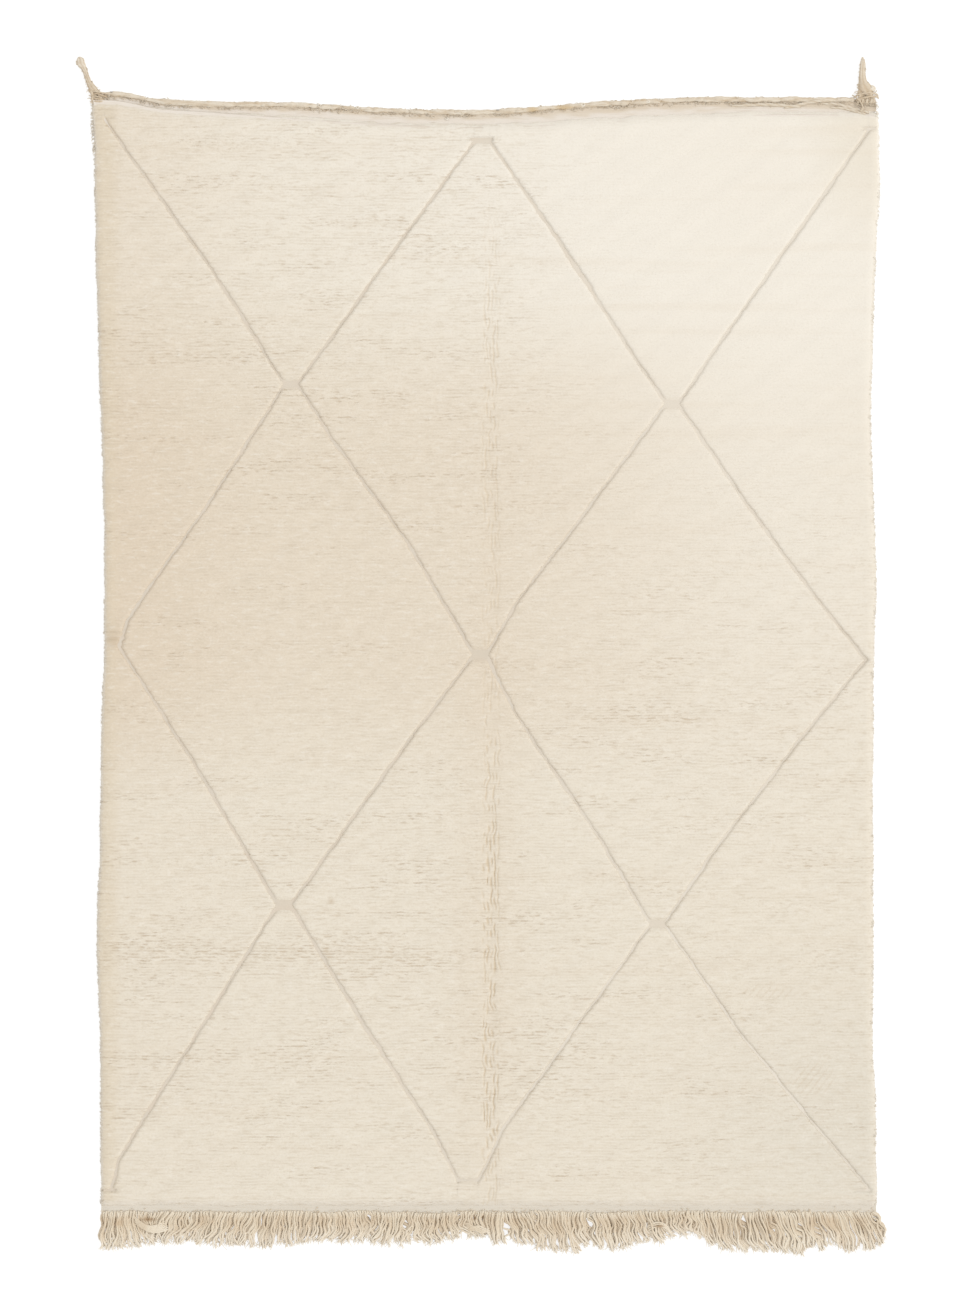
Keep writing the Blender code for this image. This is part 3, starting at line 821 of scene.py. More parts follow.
def cut_relief(x, y):
    """Depth of the level cuts."""
    depth = 0.0 * x
    for low, high, middle, half, deep in CUTS:
        near = 1 - smoothstep(0.5 * half, 1.3 * half, np.abs(y - middle))
        depth = np.maximum(depth, deep * window(low, high, 0.003, x) * near)
    return -depth


def pile_height(x, y):
    """Height of the clipped pile, and what its material needs to know at each place."""
    height = np.full(np.broadcast(x, y).shape, PILE_TOP)
    for number, (along_x, along_y, reach) in enumerate(LUMPS):
        height += reach * np.sin(2 * math.pi * (x / along_x + y / along_y) + number)
    for number, (cell_x, cell_y, reach) in enumerate(SMALL_LUMPS):
        height += reach * cloudy(x, y, cell_x, cell_y, 11 + number)
    crease, upright = crease_relief(x, y)
    height = np.maximum(height + crease + cut_relief(x, y), SUNK_TOP)
    return height, {"crease": np.clip(upright, 0.0, 1.0), "rough": rough_share(x, y)}


def pile_rows():
    """Rows from foot to head, with the section of a pile edge at both ends."""
    inset, share = np.array(END_EDGE).T
    step = KNOT_PITCH / SAMPLES_A_ROW
    middle = np.arange(FOOT_PILE_Y + inset[-1] + step, HEAD_PILE_MID - inset[-1], step)
    rows = np.concatenate([FOOT_PILE_Y + inset, middle, HEAD_PILE_MID - inset[::-1]])
    return rows, np.concatenate([share, np.ones(len(middle)), share[::-1]])


def rim_x(column, rows):
    """The rug's long rim: its curve, slow waves and the ends of the knots."""
    wave = RIM_WAVE * wander(rows, 0.085, 50 + column)
    knots = RIM_KNOTS * wander(rows, KNOT_PITCH, 60 + column)
    return through(SIDES, column, rows) + wave + knots


def pile_edges(rows):
    """Low and high edge of each pile area, and the depth of each groove, along the rows.

    Each edge climbs in soft steps of one knot row: row + share * pitch / 2pi * sin(2pi row /
    pitch) takes the place of the row.
    """
    wave = 2 * math.pi * rows / KNOT_PITCH
    stepped = rows + STEP_SHARE * KNOT_PITCH / (2 * math.pi) * np.sin(wave)
    lows, highs, depths = [rim_x(1, rows)], [], []
    for number, name in enumerate(LATTICE):
        middle = groove_x(name, stepped)
        depth = groove_depth(name, rows)
        half = groove_half(name, rows)
        for side, edges in ((-1, highs), (1, lows)):
            ragged = RAGGED * wander(rows, KNOT_PITCH, 70 + 3 * number + side)
            edges.append(middle + side * depth * (half + ragged))
        depths.append(depth)
    highs.append(rim_x(2, rows))
    return lows, highs, depths


def edge_points(table, depth, width):
    """Insets and shares of an edge's points, row by row; both fade where no groove is open."""
    inset, share = np.array(table).T
    scale = np.minimum(1.0, 0.45 * width / inset[-1])[:, None]
    insets = inset[None] * scale
    shares = 1.0 - depth[:, None] * (1.0 - share[None])
    if table is GROOVE_EDGE:
        shares[:, 0] = 0.0
        insets[:, :2] = insets[:, :2] * depth[:, None] - SEAM_LAP * (1.0 - depth[:, None])
    return insets, shares


def world_columns(low, high):
    """Columns of the pile's grid between two places, closer together about the crease."""
    fine = np.arange(CREASE_X - CREASE_HALF, CREASE_X + CREASE_HALF, CREASE_PITCH)
    first = math.floor(low / COLUMN_PITCH) * COLUMN_PITCH
    even = np.arange(first, high + COLUMN_PITCH, COLUMN_PITCH)
    even = even[np.abs(even - CREASE_X) > CREASE_HALF + 0.4 * COLUMN_PITCH]
    columns = np.sort(np.concatenate([even, fine]))
    return columns[(columns > low) & (columns < high)]


def area_numbers(low_x, high_x, across, inside):
    """Which places of an area's grid are points of their own, and every place's point number.

    A column outside the area takes the number of the edge point next to it.
    """
    ones = [np.ones(edge.shape, bool) for edge in (low_x, high_x)]
    keep = np.concatenate([ones[0], inside, ones[1]], 1)
    index = np.full(keep.shape, -1)
    index[keep] = np.arange(keep.sum())
    first, last = low_x.shape[1], low_x.shape[1] + across.shape[1]
    left_of = across <= low_x[:, -1:] + COLUMN_CLEAR
    edge_point = np.where(left_of, index[:, first - 1 : first], index[:, last : last + 1])
    index[:, first:last] = np.where(inside, index[:, first:last], edge_point)
    return keep, index


def area_faces(index):
    """Faces of an area: its grid, the underside from edge to edge and a cap at both ends."""
    underside = np.stack([index[:-1, -1], index[:-1, 0], index[1:, 0], index[1:, -1]], 1)
    faces = grid_faces(index) + [underside]
    for line, step in ((index[0], -1), (index[-1], 1)):
        cap = line[np.concatenate([[True], line[1:] != line[:-1]])]
        faces.append(cap[::step][None])
    return faces


def make_pile_area(number, rows, ends, low, high, depth_low, depth_high, material):
    """One area of pile between two grooves, or between a groove and a rim.

    Each row runs over the area's low edge, the even columns and its high edge. A column
    outside the area counts as the edge's own point, so the grid stays even and the edge exact.
    """
    at_left_rim, at_right_rim = number == 0, number == len(LATTICE)
    width = high - low
    short = np.maximum(LEAST_WIDTH - width, 0.0) / 2
    low, high = low - short, high + short
    width = high - low
    sunk = depth_low * depth_high * (1 - smoothstep(*NARROW, width))
    if at_left_rim or at_right_rim:
        sunk = 0.0 * width
    low_table = RIM_EDGE if at_left_rim else GROOVE_EDGE
    high_table = RIM_EDGE if at_right_rim else GROOVE_EDGE
    low_insets, low_shares = edge_points(low_table, depth_low, width)
    high_insets, high_shares = edge_points(high_table, depth_high, width)
    low_x = low[:, None] + low_insets
    high_x = (high[:, None] - high_insets)[:, ::-1]
    columns = world_columns(low_x[:, -1].min(), high_x[:, 0].max())
    across = np.broadcast_to(columns, (len(rows), len(columns)))
    inside = (across > low_x[:, -1:] + COLUMN_CLEAR) & (across < high_x[:, :1] - COLUMN_CLEAR)

    x = np.concatenate([low_x, across, high_x], 1)
    share = np.concatenate([low_shares, np.ones(across.shape), high_shares[:, ::-1]], 1)
    from_end = np.minimum(rows - FOOT_PILE_Y, HEAD_PILE_MID - rows)[:, None]
    end = 1 - smoothstep(0.0, END_FADE, from_end)
    uneven = cloudy(x, 0.0 * x, 0.013, 1.0, 90) + cloudy(x, 0.0 * x, 0.060, 1.0, 91)
    y = place_y(x, rows[:, None]) + END_RAGGED * end * uneven
    top, marks = pile_height(x, y)
    root = np.full(x.shape, PILE_ROOT)
    from_rims = []
    if at_left_rim:
        root[:, : len(RIM_EDGE) - 1] = RIM_ROOT
        from_rims.append(x - low[:, None])
    if at_right_rim:
        root[:, 1 - len(RIM_EDGE) :] = RIM_ROOT
        from_rims.append(high[:, None] - x)
    for from_rim in from_rims:
        end = np.maximum(end, RIM_PALENESS * (1 - smoothstep(*RIM_FADE, from_rim)))
    marks["end"] = end + 0.0 * x
    top = top + sunk[:, None] * (SUNK_TOP - top)
    z = root + (top - root) * share * ends[:, None]

    keep, index = area_numbers(low_x, high_x, across, inside)
    points = np.stack([x[keep], y[keep], z[keep]], 1)
    values = {label: mark[keep] for label, mark in marks.items()}
    name = f"pile_area_{number + 1}"
    return add_piece(name, points, area_faces(index), material, values)


def make_pile(material):
    """The five pile areas, from left to right."""
    rows, ends = pile_rows()
    lows, highs, depths = pile_edges(rows)
    rim = np.ones(len(rows))
    sides = [rim] + depths + [rim]
    return [
        make_pile_area(n, rows, ends, lows[n], highs[n], sides[n], sides[n + 1], material)
        for n in range(len(lows))
    ]


# ---------------------------------------------------------------- the ground weave

GROUND_STEP = 0.0140
BAND_STEP = 0.0013
GROUND_COLUMNS = 120
# Rows of the upper band, and shares of the cloth under the cord.
HEAD_ROWS = 34
UNDER_CORD = (0.3, 0.65, 1.0)
CLOTH_UNDER_CORD = 0.0050
RIB_PITCH = 0.0052
RIB_HEIGHT = 0.00035
SIDE_INSET = 0.0070
SIDE_FALL = 0.0022
# From the cord's middle to the cloth.
CORD_REACH = 0.0060


def head_cloth_y(x):
    """Where the cord's lower flank meets the cloth."""
    return through(HEAD, 1, x) - 2 * CORD_REACH - GAP


def slab_faces(tall, wide):
    """Faces of a grid with walls round it and a flat underside, and the grid's outline.

    The feet of the walls are numbered after the grid, in the order of the outline.
    """
    top = np.arange(tall * wide).reshape(tall, wide)
    outline = np.concatenate([top[0, :-1], top[:-1, -1], top[-1, :0:-1], top[:0:-1, 0]])
    feet = tall * wide + np.arange(len(outline))
    wall = np.stack([feet, np.roll(feet, -1), np.roll(outline, -1), outline], 1)
    return grid_faces(top) + [wall, feet[::-1][None]], outline


def band_shadow_and_tan(x, y, near_cord):
    """How brown the cloth is: painted shadow of the cord in patches towards the cord, and tan at the
    two upper corners.
    """
    shadow_and_tan = smoothstep(0.15, 0.80, near_cord + 0.35 * cloudy(x, y, 0.030, 0.010, 104))
    corners = 1 - window(-0.955, 0.955, 0.025, x)
    return np.maximum(shadow_and_tan, np.minimum(corners, smoothstep(0.0, 0.1, near_cord)))


def make_ground(material):
    """The woven cloth: a closed slab with ribbed bands at both ends.

    Its grid runs from rim to rim and from foot to head. Rows in the upper band are spaced
    evenly between the pile's edge and the cord, and the last ones pass under the cord.
    """
    band_rows = np.arange(FOOT_Y, FOOT_PILE_Y + 0.004, BAND_STEP)
    field_rows = np.arange(FOOT_PILE_Y + 0.006, HEAD_PILE_MID - 0.028, GROUND_STEP)
    shown = np.linspace(-0.60, 1.0, HEAD_ROWS)
    head_share = np.concatenate([shown, np.ones(len(UNDER_CORD))])[:, None]
    under = np.concatenate([0.0 * shown, UNDER_CORD])[:, None]
    across = np.linspace(0.0, 1.0, GROUND_COLUMNS)[None]
    flat_rows = np.concatenate([band_rows, field_rows])

    def sides(row, inset):
        """Left and right side of the cloth at a row, drawn in by the inset."""
        return through(SIDES, 1, row) + inset, through(SIDES, 2, row) - inset

    tucked = smoothstep(FOOT_PILE_Y + 0.003, FOOT_PILE_Y + 0.015, flat_rows)
    left, right = sides(flat_rows, SIDE_INSET * tucked)
    x = left[:, None] + (right - left)[:, None] * across
    y = place_y(x, flat_rows[:, None])
    left, right = sides(HEAD[0][1], SIDE_INSET * (1 - smoothstep(-0.1, 0.05, head_share)))
    head_x = left + (right - left) * across
    pile_y = through(HEAD, 2, head_x)
    head_y = pile_y + head_share * (head_cloth_y(head_x) - pile_y) + CLOTH_UNDER_CORD * under
    x, y = np.concatenate([x, head_x]), np.concatenate([y, head_y])
    in_band = np.concatenate([1 - tucked[:, None], smoothstep(-0.50, -0.12, head_share)])
    uneven = 0.0006 * cloudy(x, y, 0.048, 0.019, 101) + 0.0003 * cloudy(x, y, 0.017, 0.006, 102)
    ribs = RIB_HEIGHT * np.sin(2 * math.pi * y / RIB_PITCH + cloudy(x, y, 0.09, 0.05, 103))
    z = FIELD_GROUND + in_band * (BAND_GROUND - FIELD_GROUND + uneven + ribs)
    rim_fall = np.minimum(across, 1 - across) * 2.0
    z = z - in_band * SIDE_FALL * (1 - smoothstep(0.0, 0.006, rim_fall))
    end_fall = np.concatenate([np.ones((len(flat_rows), 1)), 1 - 0.75 * under])
    end_fall[0] = 0.55
    z = z * end_fall

    faces, outline = slab_faces(*x.shape)
    points = np.stack([x.ravel(), y.ravel(), z.ravel()], 1)
    points = np.concatenate([points, points[outline] * [1, 1, 0]])
    # Painted shadow of the cord on the cloth, and tan at the two upper corners.
    shadow_and_tan = band_shadow_and_tan(x, y, np.concatenate([0.0 * flat_rows[:, None], head_share]))
    values = {"shadow_and_tan": np.concatenate([shadow_and_tan.ravel(), np.zeros(len(outline))])}
    return add_piece("ground_weave", points, faces, material, values)


# ---------------------------------------------------------------- rims, cord and ties

LOCKS_A_RIM = 1300
CORD_FIBRES = 2000
TIE_FIBRES = 260
YARN_STATIONS = 24
# The lowest that a yarn of the cord or of a tie may lie.
YARNS_LOWEST = 0.0002


def make_rim_locks(name, column, side, material):
    """Short curled locks that stand out of a long rim.

    Each is a cone of four sides on a path that leaves the rim, dips and curls along it.
    """
    rng = np.random.default_rng(200 + column)
    count = LOCKS_A_RIM
    y = np.sort(rng.uniform(FOOT_PILE_Y + 0.004, HEAD[0][2] - 0.012, count))
    rim = rim_x(column, np.minimum(y, HEAD_PILE_MID))
    t = np.linspace(0.0, 1.0, 4)[None]
    reach = rng.uniform(0.0006, 0.0036, count)[:, None] * (0.9 + 0.3 * wander(y, 0.05, 210)[:, None])
    start = rng.uniform(0.0035, 0.0150, count)[:, None]
    drift = rng.normal(0.0, 0.0035, count)[:, None]
    tuck = 0.0035 + 0.35 * np.maximum(start - 0.008, 0.0)
    x = rim[:, None] + side * (-tuck + (tuck + reach) * t**0.8)
    path = np.stack([x, y[:, None] + drift * t**1.5, start - (start - 0.0022) * 0.55 * t**1.6], -1)
    radius = rng.uniform(0.0010, 0.0019, count)[:, None] * (1 - 0.75 * t**1.4)
    points, faces, _ = tubes(path, radius, 4)
    plain = np.zeros(len(points))
    values = {"crease": plain, "rough": plain, "end": RIM_PALENESS + plain}
    return add_piece(name, points, faces, material, values)


CORD_HALF_WIDTH = 0.0070
CORD_FLATNESS = 0.78
CORD_STEP = 0.0034
CORD_TWIST = 0.360
CORD_LEFT = -0.9737
CORD_RIGHT = 0.9690

# Loose yarns over the upper band: radius and the points (x, y, z).
LOOSE_YARNS = (
    (0.0050, ((0.650, 1.4240, 0.0050), (0.700, 1.4265, 0.0058), (0.742, 1.4275, 0.0058),
              (0.786, 1.4250, 0.0056), (0.830, 1.4215, 0.0048))),
    (0.0046, ((0.786, 1.4180, 0.0048), (0.812, 1.4240, 0.0058), (0.842, 1.4310, 0.0075),
              (0.872, 1.4360, 0.0085), (0.902, 1.4400, 0.0075))),
    (0.0046, ((0.880, 1.4300, 0.0050), (0.916, 1.4290, 0.0060), (0.948, 1.4220, 0.0060),
              (0.984, 1.4110, 0.0080), (1.004, 1.4060, 0.0105))),
    (0.0040, ((0.905, 1.4200, 0.0048), (0.930, 1.4195, 0.0056), (0.956, 1.4140, 0.0056),
              (0.980, 1.4060, 0.0090), (0.996, 1.4020, 0.0115))),
    (0.0026, ((-0.075, 1.4060, 0.0060), (-0.062, 1.4090, 0.0100), (-0.048, 1.4070, 0.0100),
              (-0.044, 1.4010, 0.0075), (-0.052, 1.3970, 0.0060))),
)
# Small knots and frayed bits on the cord: x, offset from its middle, size, turns, z.
CORD_KNOTS = (
    (-0.415, 0.0020, 0.0040, 1.3, 0.0085),
    (-0.316, 0.0030, 0.0036, 1.1, 0.0085),
    (-0.290, -0.0010, 0.0034, 1.2, 0.0088),
    (-0.085, -0.0170, 0.0034, 0.8, 0.0075),
    (0.266, 0.0010, 0.0052, 1.6, 0.0088),
    (0.413, 0.0015, 0.0036, 1.1, 0.0085),
    (0.434, -0.0015, 0.0040, 1.2, 0.0088),
    (0.464, 0.0020, 0.0034, 1.0, 0.0085),
    (-0.690, 0.0010, 0.0032, 1.1, 0.0085),
    (-0.560, -0.0020, 0.0032, 0.9, 0.0085),
)


def ply_turn(x):
    """The cord's lay: long and uneven, so that the painted shade between its plies wanders and
    breaks.
    """
    return 2 * math.pi * x / CORD_TWIST + 1.9 * wander(x, 0.12, 306) + 1.2 * wander(x, 0.035, 307)


def cord_middle(x):
    """The cord's middle line: a reach above the cloth's edge, with a slow wander."""
    return head_cloth_y(x) + 1.5 * GAP + CORD_REACH + 0.0010 * wander(x, 0.045, 303)


def yarn(radius, turning_points, tone=0.75):
    """A thin tube through a few points (x, y, z), thinner at its ends."""
    table = [(number, *point) for number, point in enumerate(turning_points)]
    path = np.stack(through_three(table, np.linspace(0, len(table) - 1, YARN_STATIONS)), -1)
    u = np.linspace(0.0, 1.0, YARN_STATIONS)
    thick = radius * (1 - 0.5 * np.abs(2 * u - 1) ** 6) * (1 + 0.12 * wander(31.0 * u, 2.0, 320))
    ply = 2 * math.pi * 3.0 * u + 9.0 * radius
    part = tubes(path[None], thick[None], 8, ply=ply[None], lobe=0.12)
    return toned(part, tone, along=(0.5, 0.0))


def curl(x, y, z, size, turns, radius=0.0018):
    """A short yarn that winds round a place, over itself."""
    u = np.linspace(0.0, 1.0, 22)
    angle = 2 * math.pi * turns * u + 40.0 * x
    reach = size * (1.0 - 0.35 * u)
    turn = np.stack([reach * np.cos(angle), 0.8 * reach * np.sin(angle), 0.0012 * u], -1)
    path = (np.array([x, y, z]) + turn)[None]
    part = tubes(path, (radius * (1 - 0.5 * u**4))[None], 7)
    return toned(part, 1.0, along=(0.9, 0.0), crest=(0.5, 0.0))


def fuzz(rng, x, y, z, reach, tone):
    """Short fibres at given places: thin tubes that curl away in any direction, and sink."""
    count = len(x)
    heading = rng.uniform(0.0, 2 * math.pi, count)[:, None]
    length = (rng.uniform(0.35, 1.0, count) * reach)[:, None]
    t = np.linspace(0.0, 1.0, 4)[None]
    turned = heading + 1.4 * t
    x = x[:, None] + length * t * np.cos(turned)
    y = y[:, None] + 0.7 * length * t * np.sin(turned)
    path = np.stack([x, y, z[:, None] - 0.0030 * t**2], -1)
    radius = rng.uniform(0.0007, 0.0014, count)[:, None] * (1 - 0.6 * t**2)
    tones = each_point(rng.uniform(*tone, count), 4, 4)
    return toned(tubes(path, radius, 4), tones, along=(0.4, 0.5), crest=(0.4, 0.0))


def cord_fuzz():
    """Fibres all along the cord, in clumps."""
    rng = np.random.default_rng(310)
    x = rng.uniform(CORD_LEFT + 0.01, CORD_RIGHT - 0.01, CORD_FIBRES)
    y = cord_middle(x) + rng.uniform(-0.0130, 0.0058, CORD_FIBRES)
    z = rng.uniform(0.0060, 0.0095, CORD_FIBRES)
    reach = 0.0100 * (0.6 + 0.6 * wander(x, 0.030, 309))
    return fuzz(rng, x, y, z, reach, (0.10, 1.0))


def make_cord(material):
    """Two-ply cord along the upper end, and the loose bits that lie on it.

    A path follows the cloth's edge with a slow wander. The section is the tube's two-lobed
    ring, swollen by noise, and its underside stays on the floor.
    """
    x = np.arange(CORD_LEFT, CORD_RIGHT, CORD_STEP)
    lumps = 0.17 * wander(x, 0.026, 301) + 0.13 * wander(x, 0.009, 302)
    radius = CORD_HALF_WIDTH * (1 + lumps)
    path = np.stack([x, cord_middle(x), CORD_FLATNESS * radius], -1)[None]
    ends = np.minimum(1.0, np.minimum(x - CORD_LEFT, CORD_RIGHT - x) / 0.006 + 0.35)
    thick = (radius * ends)[None]
    cord = tubes(path, thick, 22, flat=CORD_FLATNESS, ply=ply_turn(x)[None], lobe=0.07)
    points = cord[0]
    points[:, 2] += 0.0007 * cloudy(points[:, 0], points[:, 1], 0.005, 0.003, 304)
    points[:, 1] += 0.0009 * cloudy(points[:, 0], points[:, 1], 0.006, 0.02, 308)
    tone = 0.8 + 0.2 * wander(points[:, 0], 0.03, 305)
    parts = [toned(cord, tone, along=(0.35, 0.0)), cord_fuzz()]
    parts += [yarn(thick, turning_points) for thick, turning_points in LOOSE_YARNS]
    parts += [
        curl(at, cord_middle(np.array(at)) + offset, z, size, turns)
        for at, offset, size, turns, z in CORD_KNOTS
    ]
    return add_yarns("top_yarn_cord", parts, YARNS_LOWEST, material)


# Outline of each tie: y, x, half width, height.
LEFT_TIE = (
    (1.4350, -0.989, 0.0165, 0.0130),
    (1.4450, -0.991, 0.0175, 0.0130),
    (1.4550, -0.993, 0.0165, 0.0130),
    (1.4640, -0.998, 0.0140, 0.0130),
    (1.4730, -1.003, 0.0108, 0.0115),
    (1.4850, -1.010, 0.0084, 0.0105),
    (1.5030, -1.017, 0.0066, 0.0095),
    (1.5200, -1.023, 0.0080, 0.0100),
    (1.5340, -1.032, 0.0118, 0.0105),
    (1.5450, -1.033, 0.0090, 0.0090),
    (1.5505, -1.034, 0.0040, 0.0060),
)
RIGHT_TIE = (
    (1.4300, 0.997, 0.0280, 0.0110),
    (1.4450, 0.997, 0.0290, 0.0135),
    (1.4600, 0.997, 0.0260, 0.0140),
    (1.4720, 0.994, 0.0200, 0.0140),
    (1.4830, 0.990, 0.0125, 0.0125),
    (1.4980, 0.988, 0.0095, 0.0110),
    (1.5140, 0.988, 0.0080, 0.0100),
    (1.5330, 0.989, 0.0072, 0.0095),
    (1.5505, 0.989, 0.0022, 0.0050),
)
# Lashings over the foot of each tie: radius, tone and the points (x, y, z).
LEFT_LASHINGS = (
    (0.0024, 0.45, ((-1.008, 1.4500, 0.0040), (-0.998, 1.4490, 0.0115), (-0.985, 1.4460, 0.0125),
                    (-0.972, 1.4430, 0.0050))),
    (0.0024, 0.15, ((-1.006, 1.4440, 0.0040), (-0.996, 1.4425, 0.0125), (-0.984, 1.4405, 0.0130),
                    (-0.970, 1.4390, 0.0090))),
    (0.0026, 0.30, ((-1.004, 1.4370, 0.0070), (-0.994, 1.4350, 0.0120), (-0.982, 1.4340, 0.0125),
                    (-0.968, 1.4360, 0.0100))),
    (0.0026, 0.55, ((-1.006, 1.4580, 0.0050), (-0.994, 1.4600, 0.0145), (-0.980, 1.4570, 0.0130),
                    (-0.960, 1.4540, 0.0110))),
    (0.0022, 0.05, ((-1.000, 1.4520, 0.0120), (-0.988, 1.4540, 0.0150), (-0.976, 1.4500, 0.0135),
                    (-0.962, 1.4460, 0.0090))),
)
RIGHT_LASHINGS = (
    (0.0028, 0.75, ((0.966, 1.4460, 0.0045), (0.978, 1.4520, 0.0130), (1.000, 1.4560, 0.0155),
                    (1.022, 1.4540, 0.0110), (1.029, 1.4490, 0.0045))),
    (0.0028, 0.40, ((0.964, 1.4380, 0.0050), (0.980, 1.4410, 0.0120), (1.002, 1.4460, 0.0145),
                    (1.024, 1.4470, 0.0100), (1.030, 1.4430, 0.0045))),
    (0.0026, 0.70, ((0.962, 1.4520, 0.0045), (0.974, 1.4420, 0.0130), (0.984, 1.4300, 0.0130),
                    (0.988, 1.4160, 0.0150), (0.980, 1.4080, 0.0150))),
    (0.0030, 0.85, ((0.974, 1.4780, 0.0050), (0.984, 1.4800, 0.0125), (0.996, 1.4770, 0.0135),
                    (1.006, 1.4720, 0.0060))),
)
# The loop that stands out of the right tie: x, y, size.
LOBE = (1.0110, 1.4680, 0.0090)


def tie_fuzz(table):
    """Fibres over a tie: most of them about its foot, where it meets the cloth."""
    rng = np.random.default_rng(420)
    share = rng.uniform(0.0, 1.0, TIE_FIBRES) ** 2.2
    y = table[0][0] - 0.004 + share * (table[-1][0] - table[0][0])
    x, half, height = through_three(table, y)
    x = x + half * rng.uniform(-1.0, 1.0, TIE_FIBRES)
    return fuzz(rng, x, y, 0.90 * height, 0.0095 * (1 - 0.5 * share), (0.45, 1.0))


def make_tie(name, table, yarns, lay, lashings, lobe, material):
    """Bundle of yarns: side by side at the foot, wound about each other above.

    Yarn k of n starts at its share of the foot's width. Higher up it lies at 0.55 of the half
    width from the middle, at the angle 2pi * (k / n + length / lay).
    """
    y = np.linspace(table[0][0], table[-1][0], 60)
    x, half, height = through_three(table, y)
    number = np.arange(yarns)[:, None]
    angle = 2 * math.pi * (number / yarns + (y - y[0])[None] / lay)
    fan = 1 - smoothstep(0.0, 0.34, (y - y[0]) / (y[-1] - y[0]))[None]
    spread = 0.80 * (2 * (number + 0.5) / yarns - 1)
    sideways = half * (fan * spread + (1 - fan) * 0.55 * np.cos(angle))
    rise = 0.5 * height * (1 + (1 - fan) * 0.50 * np.sin(angle) + 0.25 * fan * np.cos(3.0 * number))
    path = np.stack([x + sideways, y + 0 * angle, rise], -1)
    radius = np.minimum(0.47 * half, 0.55 * height) * (1 - fan) + fan * 1.35 * half / yarns
    radius = radius * np.where(fan > 0.5, 1 + 0.1 * wander(900 * y, 5.0, 410), 1.0)
    bundle = tubes(path, radius, 10, ply=angle * 2.0, lobe=0.08)
    tones = 0.75 + 0.25 * cloudy(bundle[0][:, 0], bundle[0][:, 1], 0.006, 0.02, 400)
    parts = [toned(bundle, tones, along=(0.25, 0.75))]
    parts += [yarn(thick, turning_points, tone) for thick, tone, turning_points in lashings]
    if lobe:
        lobe_x, lobe_y, size = lobe
        parts.append(curl(lobe_x, lobe_y, 0.0080, size, 1.15, 0.0044))
        parts.append(curl(lobe_x, lobe_y, 0.0110, 0.35 * size, 1.0, 0.0040))
    parts.append(tie_fuzz(table))
    return add_yarns(name, parts, YARNS_LOWEST, material)


# ---------------------------------------------------------------- the fringe

# Where the warp ends lie: x of the root, how far the tip leans along x, y of the tip.
FRINGE = (
    (-0.972, -0.004, -1.532), (-0.940, 0.002, -1.535), (-0.905, 0.018, -1.530),
    (-0.870, 0.022, -1.520), (-0.820, -0.022, -1.508), (-0.765, -0.030, -1.518),
    (-0.730, -0.032, -1.512), (-0.665, -0.030, -1.521), (-0.600, -0.022, -1.520),
    (-0.530, -0.020, -1.524), (-0.460, -0.008, -1.515), (-0.395, -0.004, -1.506),
    (-0.330, 0.000, -1.514), (-0.290, -0.010, -1.505), (-0.245, -0.020, -1.517),
    (-0.210, -0.010, -1.521), (-0.170, 0.001, -1.513), (-0.120, 0.003, -1.519),
    (-0.075, 0.010, -1.500), (-0.030, 0.020, -1.503), (0.005, 0.016, -1.498),
    (0.042, 0.005, -1.522), (0.075, 0.026, -1.517), (0.120, 0.034, -1.529),
    (0.180, 0.030, -1.536), (0.220, 0.022, -1.538), (0.258, 0.016, -1.520),
    (0.300, 0.020, -1.530), (0.350, 0.016, -1.527), (0.400, 0.026, -1.508),
    (0.440, 0.016, -1.513), (0.488, 0.016, -1.492), (0.530, 0.016, -1.487),
    (0.562, 0.020, -1.512), (0.592, 0.022, -1.530), (0.630, 0.026, -1.538),
    (0.700, 0.036, -1.540), (0.750, 0.034, -1.542), (0.790, 0.042, -1.549),
    (0.820, 0.036, -1.528), (0.850, 0.036, -1.538), (0.885, 0.034, -1.512),
    (0.915, 0.034, -1.538), (0.950, 0.036, -1.536), (0.985, 0.036, -1.530),
    (1.018, 0.034, -1.505),
)
STRANDS = 340
STATIONS = 18
CLUMP = 0.036
STRAND_RADIUS = 0.0030
STRAND_FLATNESS = 0.86
ROOT_SPAN = (SIDES[0][1] + 0.004, SIDES[0][2] - 0.004)
ROOT_FIBRES = 1100
ENDS_LOWEST = 0.0001
# Layers of warp ends: pull to the clump, bow, how much shorter, height of the root, push
# aside at an opening.
UPPER_LAYER = (0.42, 0.0105, 0.0, 0.0078, 0.0028)
LOWER_LAYER = (0.25, 0.0080, 0.003, 0.0044, 0.0032)
UNDER_LAYER = (0.15, 0.0060, 0.008, 0.0016, 0.0050)
# Crimp of the warp ends: waves over their length, reach sideways.
CRIMPS = 1.7
CRIMP_REACH = 0.0058

# Warp ends that lie across the others: strands, start (x, y), end (x, y), bulge, wave.
LOOPS = (
    (6, (-0.896, -1.4420), (-0.812, -1.4560), -0.0200, 0.0000),
    (3, (0.432, -1.4720), (0.490, -1.4750), 0.0140, 0.0000),
    (4, (-0.040, -1.4620), (0.022, -1.4740), -0.0020, 0.0020),
)
# Openings between the warp ends: x, share of their length, half width.
OPENINGS = (
    (-0.286, 0.16, 0.0024), (-0.193, 0.42, 0.0034), (-0.054, 0.16, 0.0022),
    (0.068, 0.55, 0.0060), (0.144, 0.16, 0.0026), (0.284, 0.30, 0.0036),
    (0.681, 0.26, 0.0034), (0.759, 0.38, 0.0032), (0.826, 0.45, 0.0032),
    (0.872, 0.55, 0.0034), (1.020, 0.25, 0.0024),
)


